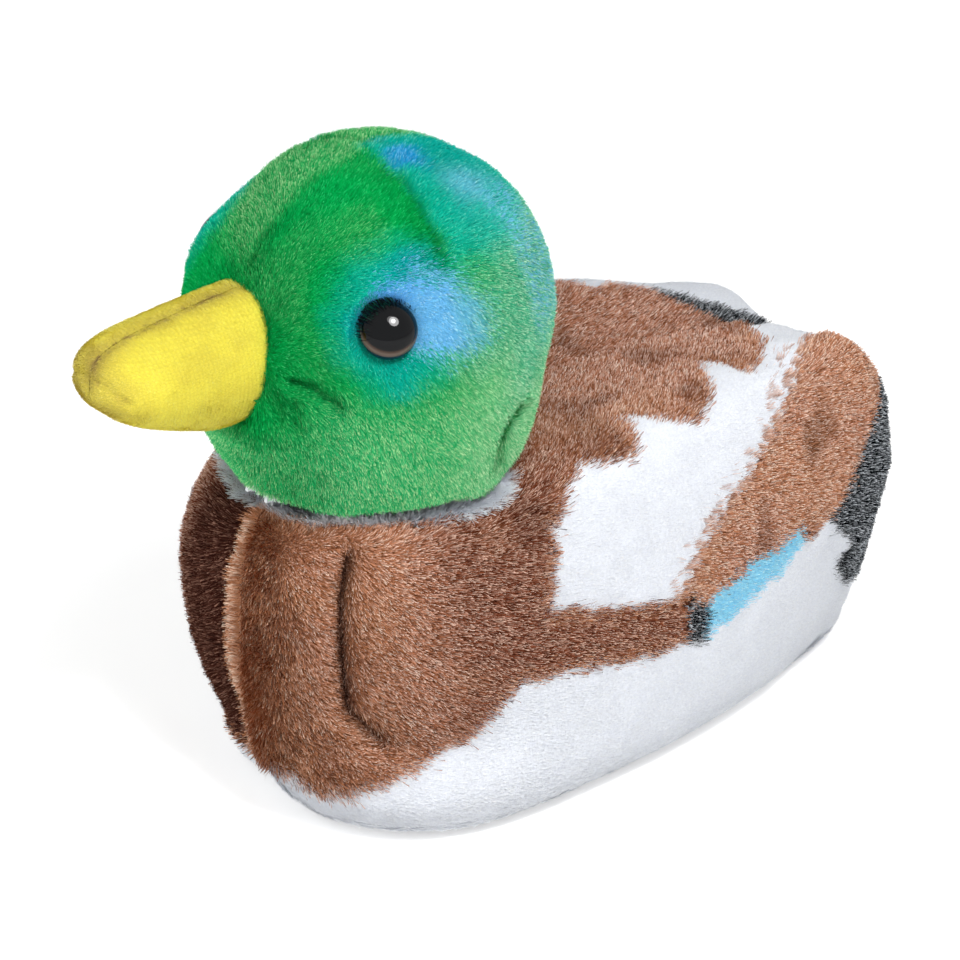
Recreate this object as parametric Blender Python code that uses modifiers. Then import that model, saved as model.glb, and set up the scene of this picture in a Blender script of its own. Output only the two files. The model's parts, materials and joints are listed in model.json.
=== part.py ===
"""A small plush mallard drake, sewn from pile fabric and filled with polyester fibre.

The duck faces -Y and its left side is at +X. It sits on z = 0, with the origin below the middle of
its bounding box. Every length is in metres. Each soft form is a coarse half cage under Mirror and
Subdivision Surface. The sewn skins are shells of those forms, parted at the seams, and the fillings
are the same forms drawn in by the thickness of the skin.
"""

import math

import bmesh
import bpy
from mathutils import Vector

# Body
BODY_LENGTH = 0.118
BODY_WIDTH = 0.066
BACK_HEIGHT = 0.054
BASE_SEAM_HEIGHT = 0.0032
REST_DEPTH = 0.0005

# Head: its middle lies behind the breast and above the back
HEAD_WIDTH = 0.053
HEAD_LENGTH = 0.053
HEAD_HEIGHT = 0.0565
HEAD_SETBACK = 0.026
HEAD_ABOVE_BACK = 0.0165

# Bill: its root lies inside the face, above the head's middle
BILL_LENGTH = 0.0305
BILL_WIDTH = 0.020
BILL_DEPTH = 0.0215
BILL_INSET = 0.0095
BILL_ABOVE_MIDDLE = 0.002
BILL_RISE = 0.0033

# Skins and fillings
SKIN_THICKNESS = 0.0025
SEAM_GAP = 0.0003
FILLING_CLEARANCE = 0.0006

# Safety eyes
EYE_WIDTH = 0.008
EYE_HEIGHT = 0.0034
EYE_RIM = 0.0007
EYE_SINK = 0.0025
EYE_TURN = math.radians(61.5)
EYE_TILT = math.radians(25.0)
CLAMPED_THICKNESS = 0.001
CLAMPED_MARGIN = 0.0015
SHANK_WIDTH = 0.0026
SHANK_LENGTH = 0.009
SHANK_RIB = 0.0003
SHANK_RIBS = 4
WASHER_WIDTH = 0.010
WASHER_THICKNESS = 0.0012
WASHER_HUB_WIDTH = 0.006
WASHER_HUB_THICKNESS = 0.0009

# Bean pouch
POUCH_LENGTH = 0.068
POUCH_WIDTH = 0.042
POUCH_HEIGHT = 0.015
POUCH_SHEET = 0.0008
POUCH_FLAT = 0.003

# One overrun serves every cut, and points closer than the merge distance are one
OVERRUN = 0.3
MERGE_DISTANCE = 0.00001

SURFACE_PASSES = 6
EYE_STEPS = 20
DOME_RINGS = 5
WASHER_STEPS = 20

# Body sections from the breast to the rear. Places along are shares of the body's length from its
# middle, widths are shares of half its width, heights are shares of the back's height:
# along, keel, floor edge, widest, height of widest, ridge, height of ridge, height of middle, notch
BODY_SECTION_SHARES = (
    (-0.483, 0.26, 0.15, 0.32, 0.59, 0.21, 0.80, 0.86, -0.018),
    (-0.449, 0.08, 0.29, 0.50, 0.58, 0.37, 0.90, 0.94, -0.016),
    (-0.373, 0.0, 0.575, 0.77, 0.52, 0.52, 0.96, 1.00, -0.008),
    (-0.215, 0.0, 0.83, 0.95, 0.43, 0.58, 0.98, 1.01, 0.0),
    (0.0, 0.0, 0.84, 0.98, 0.40, 0.60, 1.01, 1.01, 0.0),
    (0.200, 0.0, 0.72, 0.90, 0.43, 0.53, 1.00, 0.98, 0.0),
    (0.373, 0.0, 0.54, 0.73, 0.47, 0.43, 0.94, 0.90, 0.008),
    (0.430, 0.08, 0.41, 0.60, 0.49, 0.39, 0.85, 0.80, 0.022),
    (0.462, 0.24, 0.32, 0.48, 0.49, 0.36, 0.70, 0.64, 0.036),
)
BREAST_POLE_SHARES = (-0.484, 0.57)
REAR_POLE_SHARES = (0.430, 0.44)
FLOOR_EDGE_RISE_SHARE = 0.05
ROUND_SHARE = math.sqrt(0.5)

# Head rings from the neck up: heights are shares of half the head's height from its middle, radii
# are shares of half its width and length, and setbacks are shares of half its length
HEAD_RING_SHARES = (
    (-0.97, 0.53, 0.0),
    (-0.74, 0.80, 0.0),
    (-0.32, 1.0, 0.0),
    (0.15, 0.99, 0.015),
    (0.60, 0.82, 0.06),
    (0.89, 0.48, 0.05),
)
CROWN_SETBACK_SHARE = 0.04
CHIN_SHARE = 1.05
HEAD_RING_POINTS = 5

# Bill sections from inside the head to the tip: along the bill's length, half width, top and bottom
BILL_SECTION_SHARES = (
    (0.06, 0.86, 0.98, 0.98),
    (0.38, 0.93, 0.88, 0.91),
    (0.72, 0.94, 0.66, 0.67),
    (0.93, 0.68, 0.43, 0.38),
)
BILL_SECTION_POINTS = 4

# Pouch rings from its middle to its rim, as shares of half its plan and half its height
POUCH_RING_SHARES = (
    (0.45, 0.92),
    (0.80, 0.62),
)
POUCH_RING_POINTS = 4


def clear_scene():
    """Remove every object, so that the model starts from an empty scene."""
    for item in list(bpy.data.objects):
        bpy.data.objects.remove(item, do_unlink=True)


def make_collection(name):
    """Link a new collection to the scene."""
    collection = bpy.data.collections.new(name)
    bpy.context.scene.collection.children.link(collection)
    return collection


def make_material(name, colour, roughness, metallic=0.0):
    """A Principled material of one colour."""
    material = bpy.data.materials.new(name)
    material.use_nodes = True
    shader = material.node_tree.nodes["Principled BSDF"]
    shader.inputs["Base Color"].default_value = (*colour, 1.0)
    shader.inputs["Roughness"].default_value = roughness
    shader.inputs["Metallic"].default_value = metallic
    material.diffuse_color = (*colour, 1.0)
    return material


def make_object(name, mesh, collection, material=None):
    """An object for a mesh. Without a material it is a cutter, which the model leaves out."""
    item = bpy.data.objects.new(name, mesh)
    collection.objects.link(item)
    if material is None:
        item.hide_render = True
        item.display_type = "WIRE"
    else:
        mesh.materials.clear()
        mesh.materials.append(material)
        mesh.shade_smooth()
    return item


def half_cage(name, rows, first_pole, last_pole):
    """The +X half of a cage: rows of points from one edge at x = 0 to the other, closed by two poles."""
    shell = bmesh.new()
    rings = [[shell.verts.new(point) for point in row] for row in rows]
    start = shell.verts.new(first_pole)
    end = shell.verts.new(last_pole)
    for near, far in zip(rings, rings[1:]):
        for k in range(len(near) - 1):
            shell.faces.new((near[k], near[k + 1], far[k + 1], far[k]))
    for k in range(len(rings[0]) - 1):
        shell.faces.new((start, rings[0][k + 1], rings[0][k]))
        shell.faces.new((end, rings[-1][k], rings[-1][k + 1]))
    bmesh.ops.recalc_face_normals(shell, faces=shell.faces)
    mesh = bpy.data.meshes.new(name)
    shell.to_mesh(mesh)
    shell.free()
    return mesh


def add_form_modifiers(item, level, swell):
    """Mirror the half cage, round it, and move its surface outwards by swell."""
    mirror = item.modifiers.new("Mirror", "MIRROR")
    mirror.merge_threshold = MERGE_DISTANCE
    mirror.use_clip = True
    rounding = item.modifiers.new("Rounding", "SUBSURF")
    rounding.levels = level
    rounding.render_levels = level
    rounding.use_limit_surface = True
    if swell:
        offset = item.modifiers.new("Swell", "DISPLACE")
        offset.mid_level = 0.0
        offset.strength = swell


def meet_sizes(mesh, cutters):
    """Push a cage out until its rounded surface passes through the points that it was given."""
    wanted = [vertex.co.copy() for vertex in mesh.vertices]
    guide = make_object(mesh.name + "_guide", mesh, cutters)
    add_form_modifiers(guide, 1, 0.0)
    for _ in range(SURFACE_PASSES):
        graph = bpy.context.evaluated_depsgraph_get()
        rounded = guide.evaluated_get(graph).to_mesh()
        reached = [rounded.vertices[k].co.copy() for k in range(len(wanted))]
        for vertex, want, got in zip(mesh.vertices, wanted, reached):
            vertex.co += want - got
        mesh.update()
        guide.update_tag()
        bpy.context.view_layer.update()
    bpy.data.objects.remove(guide, do_unlink=True)


def body_section(shares):
    """Half an outline across the body, from the keel to the middle of the back."""
    along, keel, floor, widest, widest_up, ridge, ridge_up, middle, notch = shares
    half = BODY_WIDTH / 2
    place = along * BODY_LENGTH
    drawn = (along - notch) * BODY_LENGTH
    low = keel * BACK_HEIGHT
    wide_up = widest_up * BACK_HEIGHT
    top = ridge_up * BACK_HEIGHT
    round_out = ridge + (widest - ridge) * ROUND_SHARE
    round_up = wide_up + (top - wide_up) * ROUND_SHARE
    return [
        Vector((0.0, drawn, low)),
        Vector((half * floor, place, low + (wide_up - low) * FLOOR_EDGE_RISE_SHARE)),
        Vector((half * widest, place, wide_up)),
        Vector((half * round_out, place, round_up)),
        Vector((half * ridge, place, top)),
        Vector((0.0, drawn, middle * BACK_HEIGHT)),
    ]


def body_cage():
    """Cage of the body: a boat with a blunt breast and two lobes at the rear."""
    rows = [body_section(shares) for shares in BODY_SECTION_SHARES]
    poles = [
        Vector((0.0, along * BODY_LENGTH, up * BACK_HEIGHT))
        for along, up in (BREAST_POLE_SHARES, REAR_POLE_SHARES)
    ]
    return half_cage("body_cage", rows, *poles)


def head_middle():
    """Middle of the head, while the body's middle is at y = 0."""
    return Vector((0.0, HEAD_SETBACK - BODY_LENGTH / 2, BACK_HEIGHT + HEAD_ABOVE_BACK))


def head_cage():
    """Cage of the head: a full ball that stays wide down to the neck."""
    middle = head_middle()
    rows = []
    for up, reach, back in HEAD_RING_SHARES:
        row = []
        centre = middle + Vector((0.0, back * HEAD_LENGTH / 2, up * HEAD_HEIGHT / 2))
        for k in range(HEAD_RING_POINTS + 1):
            turn = math.pi * k / HEAD_RING_POINTS
            out = Vector((math.sin(turn) * HEAD_WIDTH, -math.cos(turn) * HEAD_LENGTH, 0.0)) * reach
            row.append(centre + out / 2)
        row[0].x = 0.0
        row[-1].x = 0.0
        rows.append(row)
    chin = middle - Vector((0.0, 0.0, HEAD_HEIGHT / 2 * CHIN_SHARE))
    crown = middle + Vector((0.0, CROWN_SETBACK_SHARE * HEAD_LENGTH / 2, HEAD_HEIGHT / 2))
    return half_cage("head_cage", rows, chin, crown)


def bill_cage():
    """Cage of the bill: broad and deep at the face, and flatter towards its round tip."""
    root = head_middle() + Vector((0.0, BILL_INSET - HEAD_LENGTH / 2, BILL_ABOVE_MIDDLE))
    run = Vector((0.0, -BILL_LENGTH, BILL_RISE))
    rows = []
    for along, wide, top, bottom in BILL_SECTION_SHARES:
        row = []
        for k in range(BILL_SECTION_POINTS + 1):
            turn = math.pi * k / BILL_SECTION_POINTS
            depth = top if k * 2 < BILL_SECTION_POINTS else bottom
            side = math.sin(turn) * wide * BILL_WIDTH / 2
            rise = math.cos(turn) * depth * BILL_DEPTH / 2
            row.append(root + run * along + Vector((side, 0.0, rise)))
        row[0].x = 0.0
        row[-1].x = 0.0
        rows.append(row)
    return half_cage("bill_cage", rows, root, root + run)


def pouch_floor():
    """Height of the pouch's flat underside, just clear of the base panel."""
    return SKIN_THICKNESS - REST_DEPTH + SEAM_GAP


def pouch_seam_height():
    """Height of the seam round the pouch's rim."""
    return pouch_floor() + POUCH_HEIGHT / 2 - POUCH_FLAT


def pouch_cage():
    """Cage of the bean pouch: a flat oval bag."""
    middle = Vector((0.0, 0.0, pouch_seam_height()))
    rim = [(1.0, 0.0)]
    under = [(reach, -up) for reach, up in POUCH_RING_SHARES]
    over = [(reach, up) for reach, up in reversed(POUCH_RING_SHARES)]
    rows = []
    for reach, up in under + rim + over:
        row = []
        for k in range(POUCH_RING_POINTS + 1):
            turn = math.pi * k / POUCH_RING_POINTS
            out = Vector((math.sin(turn) * POUCH_WIDTH, -math.cos(turn) * POUCH_LENGTH, 0.0)) * reach
            row.append(middle + out / 2 + Vector((0.0, 0.0, up * POUCH_HEIGHT / 2)))
        row[0].x = 0.0
        row[-1].x = 0.0
        rows.append(row)
    half = Vector((0.0, 0.0, POUCH_HEIGHT / 2))
    return half_cage("pouch_cage", rows, middle - half, middle + half)


def box_between(name, low, high, collection):
    """A box cutter between two corners."""
    shell = bmesh.new()
    bmesh.ops.create_cube(shell, size=1.0)
    middle = (Vector(low) + Vector(high)) / 2
    size = Vector(high) - Vector(low)
    bmesh.ops.scale(shell, vec=size, verts=shell.verts)
    bmesh.ops.translate(shell, vec=middle, verts=shell.verts)
    mesh = bpy.data.meshes.new(name)
    shell.to_mesh(mesh)
    shell.free()
    return make_object(name, mesh, collection)


def band(name, low, high, cutters):
    """A cutter for all that lies between two heights."""
    return box_between(name, (-OVERRUN, -OVERRUN, low), (OVERRUN, OVERRUN, high), cutters)


def boolean(item, cutter, operation, solver="EXACT"):
    """Cut, keep or join with another solid."""
    cut = item.modifiers.new(operation.capitalize() + "_" + cutter.name, "BOOLEAN")
    cut.operation = operation
    cut.object = cutter
    cut.solver = solver


def keep_side(panel, side_box):
    """Keep one side of a closed skin. The exact solver can lose it where thin slivers lie at its cuts."""
    boolean(panel, side_box, "INTERSECT", solver="MANIFOLD")


class Form:
    """A soft form and its solids, at the skin's outer and inner faces and at the filling."""

    def __init__(self, cage, cutters, level=2):
        self.cage = cage
        self.cutters = cutters
        self.level = level

    def solid(self, name, level, swell, collection=None, material=None):
        """A closed solid of the form with its surface moved outwards by swell."""
        mesh = self.cage.copy()
        item = make_object(name, mesh, collection or self.cutters, material)
        add_form_modifiers(item, level, swell)
        return item

    def outer(self, name, collection=None, material=None, swell=0.0):
        """The form at the pile's face."""
        return self.solid(name, self.level, swell, collection, material)

    def inner(self, name, swell=0.0):
        """The form at the back of the skin."""
        return self.solid(name, self.level - 1, swell - SKIN_THICKNESS)

    def filling(self, name, collection, material):
        """The filling, just clear of the back of the skin."""
        drawn = -SKIN_THICKNESS - FILLING_CLEARANCE
        return self.solid(name, self.level - 1, drawn, collection, material)


def bounds_of(form):
    """Lowest and highest corners of a form at the pile's face."""
    item = form.outer("measure")
    graph = bpy.context.evaluated_depsgraph_get()
    mesh = item.evaluated_get(graph).to_mesh()
    points = [vertex.co.copy() for vertex in mesh.vertices]
    bpy.data.objects.remove(item, do_unlink=True)
    low = Vector([min(point[k] for point in points) for k in range(3)])
    high = Vector([max(point[k] for point in points) for k in range(3)])
    return low, high


def shift_cage(cage, move):
    """Move a cage."""
    for vertex in cage.vertices:
        vertex.co += move
    cage.update()


def side_boxes(owner, low, cutters):
    """Boxes that part a skin at the centre seam, left and right, above a height."""
    half_gap = SEAM_GAP / 2
    left = (half_gap, -OVERRUN, low), (OVERRUN, OVERRUN, OVERRUN)
    right = (-OVERRUN, -OVERRUN, low), (-half_gap, OVERRUN, OVERRUN)
    return {
        "left": box_between(owner + "_left_side", *left, cutters),
        "right": box_between(owner + "_right_side", *right, cutters),
    }


def lathe(name, outline, steps, seat, collection, material=None, closed=False):
    """A turned solid on a seat: its outline runs from the top of its outer side down to the bottom."""
    mesh = bpy.data.meshes.new(name)
    count = len(outline)
    edges = [(k, (k + 1) % count) for k in range(count if closed else count - 1)]
    mesh.from_pydata([(out, 0.0, up) for out, up in outline], edges, [])
    item = make_object(name, mesh, collection, material)
    turned = item.modifiers.new("Turned", "SCREW")
    turned.steps = steps
    turned.render_steps = steps
    turned.use_merge_vertices = True
    turned.merge_threshold = MERGE_DISTANCE
    place, outwards = seat
    item.rotation_mode = "QUATERNION"
    item.rotation_quaternion = outwards.to_track_quat("Z", "Y")
    item.location = place
    return item


def eye_seat(head, middle, side):
    """Where an eye's axis, which starts at the head's middle, leaves the head, and its direction."""
    level = math.cos(EYE_TILT)
    direction = Vector((side * math.sin(EYE_TURN) * level, -math.cos(EYE_TURN) * level, math.sin(EYE_TILT)))
    item = head.outer("probe")
    graph = bpy.context.evaluated_depsgraph_get()
    found, place, normal, _ = item.evaluated_get(graph).ray_cast(middle, direction)
    bpy.data.objects.remove(item, do_unlink=True)
    if not found:
        raise ValueError("the eye's axis misses the head")
    return place - normal * EYE_SINK, normal


def eye_outline():
    """Outline of a safety eye: a dome with a thin rim on a ribbed shank."""
    radius = EYE_WIDTH / 2
    dome = EYE_HEIGHT - EYE_RIM
    points = []
    for k in range(DOME_RINGS + 1):
        turn = math.pi / 2 * k / DOME_RINGS
        points.append((radius * math.sin(turn), EYE_RIM + dome * math.cos(turn)))
    points[0] = (0.0, EYE_HEIGHT)
    points.append((radius, 0.0))
    core = SHANK_WIDTH / 2
    points.append((core, 0.0))
    pitch = SHANK_LENGTH / (SHANK_RIBS + 1)
    for k in range(1, SHANK_RIBS + 1):
        points.append((core + SHANK_RIB, -pitch * k))
        points.append((core, -pitch * k - SHANK_RIB))
    points.append((core, -SHANK_LENGTH))
    points.append((0.0, -SHANK_LENGTH))
    return points


def shank_hole():
    """Radius of the hole that an eye's shank passes through."""
    return SHANK_WIDTH / 2 + SHANK_RIB + SEAM_GAP


def clamped_back():
    """Height of the back of the skin that an eye and its washer hold between them."""
    return -SEAM_GAP - CLAMPED_THICKNESS


def washer_outline():
    """Closed outline of a locking washer: a disc with a raised hub round its hole."""
    top = clamped_back() - SEAM_GAP
    disc = top - WASHER_THICKNESS
    hub = disc - WASHER_HUB_THICKNESS
    return [
        (shank_hole(), top),
        (WASHER_WIDTH / 2, top),
        (WASHER_WIDTH / 2, disc),
        (WASHER_HUB_WIDTH / 2, disc),
        (WASHER_HUB_WIDTH / 2, hub),
        (shank_hole(), hub),
    ]


def clamped_outline():
    """Outline of the skin that an eye draws in: a disc from the middle of the skin to the washer."""
    reach = WASHER_WIDTH / 2 + CLAMPED_MARGIN
    top = EYE_SINK - SKIN_THICKNESS / 2
    return [
        (0.0, top),
        (reach, top),
        (reach, clamped_back()),
        (0.0, clamped_back()),
    ]


def eye_hole_outline():
    """Outline of what an eye cuts out of the skin: a recess in the pile and a hole for the shank."""
    recess = EYE_WIDTH / 2 + SEAM_GAP
    above_pile = EYE_HEIGHT + SKIN_THICKNESS
    past_back = clamped_back() - SEAM_GAP
    return [
        (0.0, above_pile),
        (recess, above_pile),
        (recess, -SEAM_GAP),
        (shank_hole(), -SEAM_GAP),
        (shank_hole(), past_back),
        (0.0, past_back),
    ]


def eye_room_outline():
    """Outline of what an eye takes from the filling: the drawn-in skin, the washer and the shank."""
    reach = WASHER_WIDTH / 2 + CLAMPED_MARGIN + FILLING_CLEARANCE
    above_pile = EYE_HEIGHT + SKIN_THICKNESS
    shelf = clamped_back() - FILLING_CLEARANCE
    pocket = WASHER_WIDTH / 2 + SEAM_GAP
    pocket_end = clamped_back() - SEAM_GAP - WASHER_THICKNESS - WASHER_HUB_THICKNESS - SEAM_GAP
    shank_end = -SHANK_LENGTH - SEAM_GAP
    return [
        (0.0, above_pile),
        (reach, above_pile),
        (reach, shelf),
        (pocket, shelf),
        (pocket, pocket_end),
        (shank_hole(), pocket_end),
        (shank_hole(), shank_end),
        (0.0, shank_end),
    ]


def build_eye(side_name, side, head, middle, parts, cutters, finishes):
    """One safety eye and its washer. Returns the skin it draws in, its hole and its room."""
    seat = eye_seat(head, middle, side)
    name = "eye_" + side_name
    lathe(name, eye_outline(), EYE_STEPS, seat, parts, finishes["eye"])
    lathe(name + "_washer", washer_outline(), WASHER_STEPS, seat, parts, finishes["washer"], closed=True)
    outlines = {"drawn_in": clamped_outline(), "hole": eye_hole_outline(), "room": eye_room_outline()}
    return {
        use: lathe(f"{name}_{use}", outline, WASHER_STEPS, seat, cutters)
        for use, outline in outlines.items()
    }


def build_body(body, head, parts, cutters, finishes):
    """The two body sides and the base, parted by the seams and open at the neck."""
    hollow = body.inner("body_hollow")
    neck = head.inner("neck_opening", SEAM_GAP)
    half_gap = SEAM_GAP / 2
    below = band("below_base_seam", 0.0, BASE_SEAM_HEIGHT - half_gap, cutters)
    for side, half in side_boxes("body", BASE_SEAM_HEIGHT + half_gap, cutters).items():
        panel = body.outer(f"body_{side}_panel", parts, finishes["body"])
        boolean(panel, hollow, "DIFFERENCE")
        boolean(panel, neck, "DIFFERENCE")
        keep_side(panel, half)
    base = body.outer("base_panel", parts, finishes["base"])
    boolean(base, hollow, "DIFFERENCE")
    boolean(base, below, "INTERSECT")


def build_head(body, head, bill, eyes, parts, cutters, finishes):
    """The two head sides, cut to sit on the body, open for the bill and drawn in at the eyes."""
    hollow = head.inner("head_hollow")
    shoulders = body.outer("shoulders", swell=SEAM_GAP)
    mouth = bill.inner("bill_opening", SEAM_GAP)
    for side, half in side_boxes("head", 0.0, cutters).items():
        panel = head.outer(f"head_{side}_panel", parts, finishes["head"])
        boolean(panel, hollow, "DIFFERENCE")
        boolean(panel, eyes[side]["drawn_in"], "UNION")
        boolean(panel, shoulders, "DIFFERENCE")
        boolean(panel, mouth, "DIFFERENCE")
        boolean(panel, eyes[side]["hole"], "DIFFERENCE")
        keep_side(panel, half)


def build_bill(head, bill, parts, cutters, finishes):
    """The two bill halves, cut to sit on the face."""
    hollow = bill.inner("bill_hollow")
    face = head.outer("face", swell=SEAM_GAP)
    for side, half in side_boxes("bill", 0.0, cutters).items():
        panel = bill.outer(f"bill_{side}_panel", parts, finishes["bill"])
        boolean(panel, hollow, "DIFFERENCE")
        boolean(panel, face, "DIFFERENCE")
        keep_side(panel, half)


def build_fillings(body, head, bill, pouch, eyes, parts, finishes):
    """The three fillings, which meet through the neck and behind the bill."""
    body_filling = body.filling("body_filling", parts, finishes["filling"])
    boolean(body_filling, pouch.solid("pouch_space", pouch.level, SEAM_GAP), "DIFFERENCE")
    head_filling = head.filling("head_filling", parts, finishes["filling"])
    boolean(head_filling, body.inner("body_filling_space"), "DIFFERENCE")
    for eye in eyes.values():
        boolean(head_filling, eye["room"], "DIFFERENCE")
    bill_filling = bill.filling("bill_filling", parts, finishes["filling"])
    boolean(bill_filling, head.inner("head_filling_space"), "DIFFERENCE")


def build_pouch(pouch, parts, cutters, finishes):
    """The bean pouch's two sheets, sewn round its rim and settled flat below, and the beans in them."""
    half_gap = SEAM_GAP / 2
    seam = pouch_seam_height()
    floor = pouch_floor()
    space = pouch.solid("beans_space", pouch.level, -POUCH_SHEET)
    boolean(space, band("beans_space_floor", floor + POUCH_SHEET, OVERRUN, cutters), "INTERSECT")
    spans = {
        "bean_pouch_top": (seam + half_gap, OVERRUN),
        "bean_pouch_bottom": (floor, seam - half_gap),
    }
    for name, (low, high) in spans.items():
        sheet = pouch.solid(name, pouch.level, 0.0, parts, finishes["pouch"])
        boolean(sheet, space, "DIFFERENCE")
        boolean(sheet, band(name + "_span", low, high, cutters), "INTERSECT")
    beans = pouch.solid("beans", pouch.level, -POUCH_SHEET - SEAM_GAP, parts, finishes["beans"])
    settled = band("beans_span", floor + POUCH_SHEET + SEAM_GAP, OVERRUN, cutters)
    boolean(beans, settled, "INTERSECT")


def build_duck():
    """Model the whole duck."""
    clear_scene()
    parts = make_collection("plush_duck")
    cutters = make_collection("cutters")
    finishes = {
        "body": make_material("printed_body_pile", (0.26, 0.105, 0.057), 0.85),
        "base": make_material("white_base_pile", (0.85, 0.87, 0.90), 0.85),
        "head": make_material("green_head_pile", (0.03, 0.38, 0.10), 0.80),
        "bill": make_material("yellow_bill_pile", (0.85, 0.70, 0.04), 0.90),
        "eye": make_material("eye_plastic", (0.01, 0.01, 0.012), 0.08),
        "washer": make_material("washer_plastic", (0.80, 0.80, 0.78), 0.45),
        "filling": make_material("polyester_filling", (0.88, 0.88, 0.86), 0.95),
        "pouch": make_material("pouch_cloth", (0.75, 0.75, 0.72), 0.90),
        "beans": make_material("bean_plastic", (0.70, 0.72, 0.74), 0.50),
    }
    cages = [body_cage(), head_cage(), bill_cage(), pouch_cage()]
    for cage in cages:
        meet_sizes(cage, cutters)
    body, head, bill, pouch = [Form(cage, cutters) for cage in cages]
    pouch.level = 1
    back = bounds_of(body)[1].y
    front = bounds_of(bill)[0].y
    centre = Vector((0.0, -(front + back) / 2, 0.0))
    for cage in cages:
        shift_cage(cage, centre)
    shift_cage(body.cage, Vector((0.0, 0.0, -REST_DEPTH)))
    middle = head_middle() + centre
    eyes = {
        name: build_eye(name, side, head, middle, parts, cutters, finishes)
        for name, side in (("left", 1.0), ("right", -1.0))
    }
    build_body(body, head, parts, cutters, finishes)
    build_head(body, head, bill, eyes, parts, cutters, finishes)
    build_bill(head, bill, parts, cutters, finishes)
    build_fillings(body, head, bill, pouch, eyes, parts, finishes)
    build_pouch(pouch, parts, cutters, finishes)


build_duck()
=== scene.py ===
"""Looks of a small plush mallard drake: sewn skins, pile, bill, safety eyes, filling and bean pouch.

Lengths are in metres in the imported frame: the duck faces -Y, its left side is at +X and it sits on
z = 0. Printed outlines and seam lines are written in millimetres, as a pattern cutter marks them.
"""

import itertools
import json
import logging
import math
from dataclasses import dataclass
from enum import Enum
from typing import Callable

import bpy
import numpy as np
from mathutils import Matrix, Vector
from mathutils.bvhtree import BVHTree

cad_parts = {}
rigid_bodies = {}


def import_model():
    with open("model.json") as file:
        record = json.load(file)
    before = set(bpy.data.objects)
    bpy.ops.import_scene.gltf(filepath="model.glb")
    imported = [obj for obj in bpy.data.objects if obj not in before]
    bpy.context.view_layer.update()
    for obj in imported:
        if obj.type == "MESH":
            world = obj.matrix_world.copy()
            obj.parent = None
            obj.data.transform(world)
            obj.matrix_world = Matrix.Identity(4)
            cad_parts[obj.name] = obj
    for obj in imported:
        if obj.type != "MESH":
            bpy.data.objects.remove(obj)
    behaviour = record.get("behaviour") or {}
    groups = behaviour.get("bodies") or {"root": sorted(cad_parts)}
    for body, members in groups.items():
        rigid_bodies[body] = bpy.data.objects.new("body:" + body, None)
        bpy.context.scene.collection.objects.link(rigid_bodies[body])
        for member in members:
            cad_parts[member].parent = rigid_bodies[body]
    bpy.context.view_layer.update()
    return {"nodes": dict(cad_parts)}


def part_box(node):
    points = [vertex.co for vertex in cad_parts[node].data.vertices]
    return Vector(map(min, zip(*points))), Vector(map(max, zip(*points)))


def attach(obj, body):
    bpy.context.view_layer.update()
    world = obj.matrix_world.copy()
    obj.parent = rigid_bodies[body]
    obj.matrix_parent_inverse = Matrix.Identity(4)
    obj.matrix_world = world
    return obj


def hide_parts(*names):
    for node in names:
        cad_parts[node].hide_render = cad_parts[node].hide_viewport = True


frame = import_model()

log = logging.getLogger("plush_duck")

Rows = np.ndarray
Triple = tuple[float, float, float]
Line = tuple[Triple, ...]
Outline = tuple[tuple[float, float], ...]
Finishes = dict[str, bpy.types.Material]
Socket = bpy.types.NodeSocket
SocketValues = dict[str | int, object]
MM = 0.001

# Factors of the hash that gives each corner of a noise lattice its fixed value, in 32 bits.
LATTICE_STEPS = (73856093, 19349663, 83492791)
SEED_STEP = 97531
FIRST_MIX = 1274126177
SECOND_MIX = 2246822519
ALL_BITS = 0xFFFFFFFF

# A wave texture of scale 1 repeats at this length in metres.
WAVE_PERIOD = 0.314

# The head's middle in millimetres, towards which its seams are drawn in.
HEAD_HEART = (0, -20.3, 70.5)


class Side(Enum):
    """The two mirrored halves of every sewn form."""

    LEFT = 1.0
    RIGHT = -1.0

    @property
    def word(self) -> str:
        """The side's name as the pieces carry it."""
        return self.name.lower()


# Numbers on rows of points


def unit(rows: Rows) -> Rows:
    """Rows at length one."""
    return rows / np.maximum(np.linalg.norm(rows, axis=1, keepdims=True), 1e-12)


def ease(low: float, high: float, values: np.ndarray) -> np.ndarray:
    """A smooth step from 0 at low to 1 at high, which may be the smaller of the two."""
    part = np.clip((values - low) / (high - low), 0.0, 1.0)
    return part * part * (3.0 - 2.0 * part)


def patch_noise(points: Rows, size: float, seed: int) -> np.ndarray:
    """Smooth noise from a lattice of fixed values.

    Args:
        points: Places in metres.
        size: Spacing of the lattice in metres.
        seed: Chooses the lattice.

    Returns:
        One value from -1 to 1 for each point.
    """
    scaled = points / size
    cell = np.floor(scaled).astype(np.int64)
    part = scaled - cell
    part = part * part * (3.0 - 2.0 * part)
    total = np.zeros(len(points))
    for corner in itertools.product((0, 1), repeat=3):
        key = cell + np.array(corner)
        first, second, third = (key[:, k] * LATTICE_STEPS[k] for k in range(3))
        mixed = first ^ second ^ third ^ (seed * SEED_STEP)
        mixed = (mixed ^ (mixed >> 13)) * FIRST_MIX & ALL_BITS
        mixed = (mixed ^ (mixed >> 16)) * SECOND_MIX & ALL_BITS
        share = np.ones(len(points))
        for axis, side in enumerate(corner):
            share = share * (part[:, axis] if side else 1.0 - part[:, axis])
        total += share * (mixed / ALL_BITS * 2.0 - 1.0)
    return total


def noise_rows(points: Rows, size: float, seed: int) -> Rows:
    """Three smooth noises side by side, as a small drift for each point."""
    return np.stack([patch_noise(points, size, seed + k) for k in range(3)], axis=1)


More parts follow.
